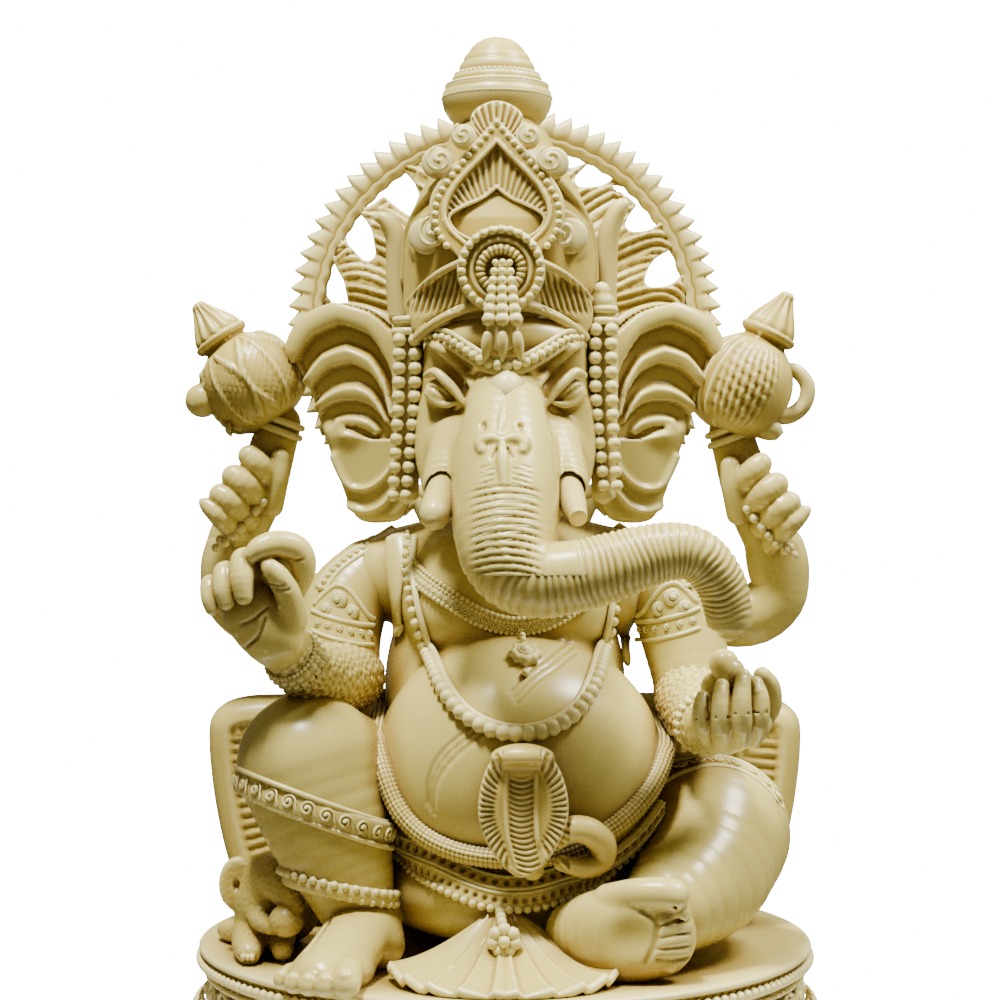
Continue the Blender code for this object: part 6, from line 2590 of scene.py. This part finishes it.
@dataclass
class Ornaments(Assembly):
    """Collar, pendant, necklace, serpent, belt and tassel, laid on the torso."""

    finish: Finish = Finish.CARVED
    torso: Torso | None = None

    def build(self) -> None:
        """Make every ornament that the torso wears."""
        self.collar()
        self.necklace()
        self.serpent()
        self.belt()

    def tape(self, path: np.ndarray, out: np.ndarray, half: float, flat: float = 0.3) -> Skin:
        """A flat strap of a half width, laid along a path."""
        return swept(path, half, 14, up=out, flat=flat)

    def collar(self) -> None:
        """The lace collar with its rosette pendant."""
        spots = [
            (-31, 157), (-28.5, 150), (-23.5, 144.6), (-16, 139.8), (-7, 134.6), (3.6, 132.0), (13, 134.2),
            (21, 139.0), (27.5, 145), (32, 151), (34, 157)
        ]
        path, out = self.torso.laid(spots, 0.5)
        side = crossed(np.gradient(path, axis=0), out)
        parts = [self.tape(path, out, 2.7)]
        for offset, motif, size in (
            (-2.3, Motif.BEAD, 0.75), (2.3, Motif.BEAD, 0.75), (0.75, Motif.ROSETTE, 1.05),
            (-0.9, Motif.BEAD, 0.6)
        ):
            laid = path + side * offset + out * 0.6
            parts.append(row(motif, laid, out, size, int(length_of(laid) / (2.05 * size)), self.finish))
        self.emit("lace_collar", "collar", joined(parts), None)
        spot, facing = self.torso.laid([(5.0, 124.5), (5.6, 124.0)], 1.2)
        places, turn = spot[-2:], facing[-1]
        parts = [
            row(Motif.ROSETTE, places, turn, 4.2, 1, self.finish),
            row(Motif.DISC, places + turn * 1.2, turn, 2.2, 1, self.finish)
        ]
        stem, stem_out = self.torso.laid([(4.6, 131), (5.0, 127.6)], 1.0)
        parts.append(row(Motif.BEAD, stem, stem_out, 1.0, 3, self.finish))
        drop, drop_out = self.torso.laid([(5.6, 119.6), (5.6, 118.6)], 0.8)
        parts.append(row(Motif.BEAD, drop, drop_out, 1.2, 1, self.finish))
        self.emit("rosette_pendant", "collar_pendant", joined(parts), None)

    def necklace(self) -> None:
        """The long necklace: a smooth inner cord, and beads that grow towards the bottom."""
        spots = [
            (-28.6, 156), (-27.6, 146), (-25, 134), (-21.4, 123), (-15.4, 112.6), (-7, 106), (4, 103.6),
            (14.6, 106)
        ]
        spots += [(22.4, 112.6), (27.4, 123), (30.4, 135), (32, 147), (32.6, 156)]
        path, out = self.torso.laid(spots, 1.6)
        places, sizes = spaced(path, lambda share: 1.15 + 1.3 * math.sin(math.pi * share) ** 1.6)
        _, facing = self.torso.laid([(x, z) for x, _, z in places], 0, straight=True)
        side = crossed(np.gradient(path, axis=0), out)
        cord = path + side * 2.2 * np.sign(side[len(side) // 2][2]) - out * 0.5
        parts = [
            row(Motif.BEAD, places, facing, sizes, len(places), self.finish),
            swept(cord, 0.95, 10, up=out),
        ]
        self.emit("long_bead_necklace", "long_necklace", joined(parts), None)

    def serpent(self) -> None:
        """The serpent tied round the belly, and its raised hood."""
        spots = [
            (-36.6, 110), (-35.4, 100), (-32.5, 91), (-28.6, 82.4), (-22.4, 76.2), (-14, 72.4), (-5, 70.8),
            (5, 70.6)
        ]
        spots += [(15, 72.0), (24.5, 75.8), (32.5, 80.8), (39.6, 88), (44.2, 97), (45.6, 106)]
        path, out = self.torso.laid(spots, 1.5, 10)
        path = evened(path, 0.5)
        _, out = self.torso.laid([(x, z) for x, _, z in path], 0, straight=True)
        sides = 40
        skin = swept(path, 2.7, sides, up=out)
        ring = np.repeat(np.arange(len(path)) * 0.5, sides)
        turn = np.tile(np.arange(sides), len(path)) * 2 * math.pi * 2.7 / sides
        scale = np.cos((ring + turn) * math.pi / 1.3) * np.cos((ring - turn) * math.pi / 1.3)
        skin = skin.pushed(np.concatenate([0.45 * scale, [0, 0]]))
        self.emit("serpent_round_belly", "serpent_girdle", skin, None)
        self.hood(tuple(self.torso.laid([(4.4, 84), (4.6, 84)], 0.0)[0][0]))

    def hood(self, belly: Triple) -> None:
        """The hood that rises over the knot, with belly scales down its middle.

        Args:
            belly: Point of the belly that it covers.
        """
        front = belly[1] - 2.6
        half = [
            (4.6, 101.6), (-0.2, 100.8), (-4.6, 96.6), (-7.0, 89.4), (-7.2, 81.6), (-4.6, 74.4),
            (-0.6, 69.0), (4.2, 66.0)
        ]
        outline = evened(
            through(
                [*half, (9.6, 68.6), (14.0, 74.6), (16.8, 81.8), (16.6, 89.4), (13.8, 96.8), (9.4, 100.8)],
                4, closed=True
            ),
            1.0
        )
        clay = Clay((-12, front - 12, 60), (34, front + 14, 108), 0.42)

        def cupped(x: np.ndarray, z: np.ndarray) -> np.ndarray:
            """Y of the hood at a place."""
            return front - 1.6 - 0.012 * (x - 4.6) ** 2 - 0.004 * (z - 84) ** 2

        clay.plate(outline, cupped, 1.9, 0, 1.4, (front - 12, front + 10))
        clay.ball((4.6, front - 3.4, 98.8), (8.6, 4.6, 3.4), 1.2)
        clay.ball((4.6, front - 6.6, 92.6), (8.4, 3.6, 4.6), 1.6, carve=True)
        clay.limb(
            [
                (4.4, front + 1, 95, 3.6), (4.2, front + 0.6, 84, 4.0), (5.0, front + 0.4, 75, 3.8),
                (7.4, front + 2, 67.6, 3.2)
            ],
            1.0, 0.9
        )
        for dx in (-4.2, 4.0):
            clay.relief(
                [
                    (4.4 + dx, 94, 0.6), (4.2 + dx, 84, 0.75), (5.0 + dx * 0.95, 75, 0.7),
                    (7.0 + dx * 0.8, 68.6, 0.5)
                ],
                0.2, 0.4, depth=front + 6
            )
        knot = [
            (13.4, front + 1.6, 75.6, 3.2), (17.6, front - 0.2, 78.6, 3.6), (22.6, front + 0.4, 78.0, 3.8),
            (26.4, front + 2.6, 74.2, 3.8), (26.0, front + 4.0, 69.6, 3.5), (21.4, front + 2.0, 67.8, 2.8),
            (15.2, front + 0.6, 69.4, 2.2)
        ]
        clay.limb(knot, 0.8)
        skin = clay.skin()
        x, _, z = skin.places.T
        facing = ease(-skin.normals()[:, 1], 0.3, 0.7)
        middle = 4.3 + np.where(z < 78, (78 - z) * 0.22, 0)
        column = (1 - ease(np.abs(x - middle), 2.9, 3.4)) * (1 - ease(z, 92, 94)) * ease(z, 66, 68)
        belly_scales = grooves(z - 0.10 * (x - middle) ** 2, 1.5, 2.0)
        rim = outline_distance(outline, x, z)
        edge = ease(rim, -5.4, -3.6) * (np.abs(x - middle) > 5.2) * (x < 17.2)
        ribs = grooves(np.arctan2(x - 4.5, z - 84) * 14, 2.0, 1.2)
        skin = skin.pushed(-facing * (0.5 * column * belly_scales + 0.7 * edge * ribs))
        self.emit("raised_serpent_hood", "serpent_hood", skin, None)

    def belt(self) -> None:
        """The two-row belt with its fringe of beads and its tassel."""
        spots = [
            (-40, 83), (-36, 77), (-32, 73), (-27, 69.6), (-20.3, 66), (-12, 62), (-5, 60), (2, 59.4),
            (10, 60.2)
        ]
        spots += [(20, 63.4), (28, 67.4), (36.4, 73.6), (42, 80)]
        path, out = self.torso.laid(spots, 1.2, 10)
        path = evened(path, 0.45)
        _, out = self.torso.laid([(x, z) for x, _, z in path], 0, straight=True)
        tangent = np.gradient(path, axis=0)
        up = crossed(out, tangent)
        up = up * (1 if up[len(up) // 2, 2] > 0 else -1)
        band = swept(path, 5.0, 44, up=out, flat=0.42)
        band = dotted(band, path + up * 2.8 + out * 1.8, 3.3, 0.72, 1.5)
        band = dotted(band, path - up * 2.4 + out * 1.9, 2.8, 0.62, 1.3)
        parts = [band]
        for offset, proud in ((0.9, 2.1), (-0.3, 2.1), (4.4, 1.0)):
            line = path[::3] + up[::3] * offset + out[::3] * proud
            parts.append(swept(line, 0.45, 8, up=out[::3]))
        fringe = path - up * 4.7 + out * 1.2
        parts.append(row(Motif.BEAD, fringe, out, 1.2, int(length_of(fringe) / 2.5), self.finish))
        self.emit("two_row_belt", "waist_belt", joined(parts), None)
        self.tassel()

    def tassel(self) -> None:
        """The rosette of beads that hangs from the belt, with its stem and drop."""
        spot = np.array((-0.4, -68.2, 49.4))
        step = np.array((0.4, 0.0, 0.0))
        facing = np.array((0, -1, 0.25))
        parts = []
        for index in range(7):
            turn = index * 2 * math.pi / 7
            petal = spot + np.array((3.0 * math.sin(turn), 0.3, 3.0 * math.cos(turn)))
            parts.append(row(Motif.BEAD, np.array([petal, petal + step]), facing, 2.0, 1, self.finish))
        heart = spot + np.array((0, -1.2, 0))
        parts.append(row(Motif.BEAD, np.array([heart, heart + step]), facing, 1.8, 1, self.finish))
        stem = through([(-1.6, -59.4, 56.8), (-1.0, -65.6, 54.0)], 4)
        parts.append(row(Motif.BEAD, stem, np.array((0, -1, 0.6)), 1.5, 4, self.finish))
        drop = through([(spot[0], spot[1], 46.0, 1.6), (spot[0], spot[1] - 0.3, 43.0, 1.3)], 4)
        parts.append(swept(drop[:, :3], drop[:, 3], 12, up=(1, 0, 0)))
        self.emit("belt_rosette_tassel", "belt_tassel", joined(parts), None)


@dataclass
class Drapery(Assembly):
    """The fan of folds on the pedestal and the two ends of the sash on the chest."""

    torso: Torso | None = None

    def build(self) -> None:
        """Make the fan and both sash ends."""
        self.fan()
        right = [(-31.6, 156), (-31.4, 147), (-31.0, 138), (-30.4, 129)]
        left = [(34.4, 156), (35.4, 144), (35.6, 132), (35.0, 121)]
        self.sash("right_sash_strip", "right_sash_end", right)
        self.sash("left_sash_strip", "left_sash_end", left)

    def fan(self) -> None:
        """Cloth that runs from under the belt and spreads over the pedestal in radial folds."""
        top = np.array((-0.6, -54.0, 57.0))
        angles = np.radians(np.linspace(-84, 84, 361))
        reach = np.linspace(0.06, 1.0, 46)
        spread = np.abs(np.sin(angles))
        hem_x = 31.5 * np.sin(angles)
        hem_y = -57.0 - 31.5 * np.cos(angles) ** 0.7
        hem_z = 40.0 + 3.0 * spread**3
        pleat = (np.abs(angles) / math.pi * 10.4 + 0.5) % 1.0
        ridge = np.where(pleat < 0.82, pleat / 0.82, (1 - pleat) / 0.18) * 2 - 1
        front, back = [], []
        for share in reach:
            drop = share**0.85
            x = top[0] + (hem_x - top[0]) * drop
            y = top[1] + (hem_y - top[1]) * share
            z = top[2] + (hem_z - top[2]) * (1 - (1 - share) ** 1.9)
            high = 0.95 * share**0.6 * ridge * (1 - 0.25 * spread)
            front.append(np.column_stack([x, y - 0.35 * high * (1 - share), z + high]))
            back.append(
                np.column_stack([x, y + 2.0 * (1 - share), np.maximum(z + high - 2.6, PEDESTAL_TOP + 0.02)])
            )
        columns, rows = len(angles), len(reach)
        front[-1] = front[-1] + np.array((0, 0, 0.2))
        lip = front[-1] * 0.5 + back[-1] * 0.5 + np.column_stack(
            [np.sin(angles), -np.cos(angles), np.zeros(columns)]
        ) * 0.9
        sheet = np.vstack([*front, lip, *back[::-1]])
        total = 2 * rows + 1
        index = np.arange(total * columns).reshape(total, columns)
        a, b = index[:-1, :-1].ravel(), index[:-1, 1:].ravel()
        c, d = index[1:, 1:].ravel(), index[1:, :-1].ravel()
        quads = [np.column_stack([a, d, c, b])]
        for column in (0, columns - 1):
            for step in range(rows):
                corners = [
                    index[step, column], index[step + 1, column], index[total - 2 - step, column],
                    index[total - 1 - step, column]
                ]
                quads.append(
                    np.array(
                        [corners if column == columns - 1 else corners[::-1]]
                    ) if step < rows - 1 else np.zeros((0, 4), int)
                )
        lid = [(index[0, k], index[0, k + 1], index[-1, k + 1], index[-1, k]) for k in range(columns - 1)]
        ends = [(index[rows - 1, c], index[rows, c], index[rows + 1, c]) for c in (0, columns - 1)]
        tris = np.array([ends[0][::-1], ends[1]])
        skin = Skin(sheet, np.vstack([*quads, np.array(lid)]), tris)
        if skin.normals()[index[rows // 2, columns // 2]][1] > 0:
            skin = Skin(skin.places, skin.quads[:, ::-1], skin.tris[:, ::-1])
        self.emit("fan_of_folds", "drape_fan", skin, None)

    def sash(self, name: str, node: str, spots: Sequence[tuple[float, float]]) -> None:
        """One smooth end of the sash, which lies over the shoulder.

        Args:
            name: The piece's name.
            node: The CAD node that it replaces.
            spots: X, Z spots that it runs through.
        """
        path, out = self.torso.laid(spots, 1.2)
        width = np.linspace(3.6, 3.1, len(path))
        self.emit(name, node, swept(path, width, 20, up=out, flat=0.42))


@dataclass
class Mouse(Assembly):
    """The mouse at the figure's right foot, with a sweet in its paws."""

    finish: Finish = Finish.CARVED

    def build(self) -> None:
        """Make the mouse."""
        clay = Clay((-92, -58, 34), (-48, -2, 74), 0.5)
        clay.ball((-68, -24, 52.0), (10.5, 15, 13.5), 0).ball((-67, -12, 46), (12, 11, 9), 3)
        clay.limb(
            [
                (-67.5, -30, 60.5, 6.6), (-64.4, -36.5, 60.2, 6.0), (-60.9, -41.4, 57.2, 4.6),
                (-59.2, -44.4, 53.6, 3.0)
            ],
            2.4
        )
        clay.ball((-61.2, -44.8, 50.4), (4.9, 4.6, 4.7), 0.5)
        clay.limb([(-71, -30, 53, 4.4), (-69.4, -39, 49.6, 3.0), (-65.4, -44, 48.4, 2.2)], 1.0)
        clay.limb([(-72, -30, 44, 6.4), (-72.6, -38, 42.2, 4.6), (-71.8, -44, 41.2, 3.3)], 1.6)
        clay.limb([(-64, -34, 44, 4.4), (-62.8, -41, 41.4, 3.0)], 1.2)
        clay.limb([(-76, -18, 42, 4), (-82, -10, 41, 3), (-80, -2, 40.6, 2.2)], 1.6)
        loop = [
            (-76.9 + 5.4 * math.sin(turn), 57.8 + 7.8 * math.cos(turn)) for turn in np.linspace(0, 5.7, 12)
        ]
        ear = evened(through(loop, 3, closed=True), 1.0)
        clay.plate(ear, lambda x, z: -28.0 + 0 * x, 2.0, 0.9, 1.6, (-40, -14))
        clay.ball((-77.0, -30.6, 57.6), (1.1, 1.8, 1.9), 0.5, carve=True)
        clay.ball((-62.4, -42.6, 59.8), (1.3, 1.3, 1.2), 0.3)
        for spread in (-1.3, 0.0, 1.3):
            clay.ball((-71.8 + spread, -46.6, 40.6), (0.8, 1.8, 1.2), 0.2)
        skin = clay.skin()
        skin.places[:, 2] = np.maximum(skin.places[:, 2], PEDESTAL_TOP + 0.1)
        x, y, z = skin.places.T
        fur = np.sin(z * 3.1 + 1.4 * np.sin(x * 1.9)) * np.sin(x * 2.7 + 1.2 * np.sin(y * 2.1))
        self.emit("seated_mouse", "mouse", skin.pushed(0.07 * fur), (-70.5, -29.8, 50.8))


def stage_floor() -> None:
    """A plain pale round floor."""
    mesh = bpy.data.meshes.new("floor")
    turns = np.arange(FLOOR_SIDES) * 2 * math.pi / FLOOR_SIDES
    rim = np.column_stack([np.cos(turns), np.sin(turns), np.zeros(FLOOR_SIDES)]) * FLOOR_RADIUS
    mesh.from_pydata(rim.tolist(), [], [tuple(range(FLOOR_SIDES))])
    floor = bpy.data.objects.new("floor", mesh)
    bpy.context.scene.collection.objects.link(floor)
    paint = bpy.data.materials.new("pale_floor_paint")
    paint.use_nodes = True
    shader = paint.node_tree.nodes["Principled BSDF"]
    shader.inputs["Base Color"].default_value = linear("#F4F3F0")
    shader.inputs["Roughness"].default_value = 0.9
    shader.inputs["Specular IOR Level"].default_value = 0.1
    mesh.materials.append(paint)


def lamp(name: str, spot: Triple, target: Triple, size: float, watts: float, colour: str) -> None:
    """A soft square lamp.

    Args:
        name: Its name.
        spot: Where it stands, in metres.
        target: What it points at.
        size: Its side.
        watts: Its power.
        colour: Its colour as sRGB hex.
    """
    light = bpy.data.lights.new(name, "AREA")
    light.size = size
    light.energy = watts
    light.color = linear(colour)[:3]
    made = bpy.data.objects.new(name, light)
    made.location = spot
    made.rotation_euler = (Vector(target) - Vector(spot)).to_track_quat("-Z", "Y").to_euler()
    bpy.context.scene.collection.objects.link(made)


def stage_light() -> None:
    """A white backdrop behind a dim warm room, lit by a soft lamp overhead and another from the side."""
    world = bpy.data.worlds.new("white_backdrop")
    world.use_nodes = True
    tree = world.node_tree
    room = tree.nodes["Background"]
    room.inputs["Color"].default_value = linear("#FFE9B0")
    room.inputs["Strength"].default_value = ROOM_GLOW
    seen = put(tree, "ShaderNodeLightPath").outputs["Is Camera Ray"]
    backdrop = put(tree, "ShaderNodeBackground", Color=(1, 1, 1, 1), Strength=BACKDROP_GLOW)
    mixed = put(tree, "ShaderNodeMixShader", i0=seen, i1=room.outputs[0], i2=backdrop.outputs[0])
    tree.links.new(mixed.outputs[0], tree.nodes["World Output"].inputs["Surface"])
    bpy.context.scene.world = world
    middle = (0.0, 0.0, 0.16)
    lamp("key", (-0.2, -0.34, 1.25), middle, 0.2, 37.0, LAMP_TINT)
    lamp("side", (0.62, -0.12, 1.05), middle, 0.3, 22.0, LAMP_TINT)


def stage_camera() -> None:
    """The camera, level with the figure's chin and straight in front of it."""
    lens = bpy.data.cameras.new("front_camera")
    lens.sensor_width = SENSOR_MM
    lens.lens = LENS_MM
    camera = bpy.data.objects.new("front_camera", lens)
    camera.location = [value * MM for value in CAMERA_MM]
    camera.rotation_euler = (math.pi / 2, 0, 0)
    lens.clip_start = 0.01
    bpy.context.scene.collection.objects.link(camera)
    bpy.context.scene.camera = camera


def main() -> None:
    """Build the idol and its stage."""
    logging.basicConfig(level=logging.INFO, format="%(message)s")
    torso = Torso()
    torso.shape()
    assemblies = [
        Pedestal(
        ), Cushion(), torso, Head(), Ears(), Tusks(), Crown(), Halo(), FrontArms(), RearArms(), Vessels(),
        Legs(), Ornaments(torso=torso), Drapery(torso=torso), Mouse(),
    ]
    for assembly in assemblies:
        assembly.build()
    discard_motifs()
    stage_floor()
    stage_light()
    stage_camera()


if __name__ == "__main__":
    main()
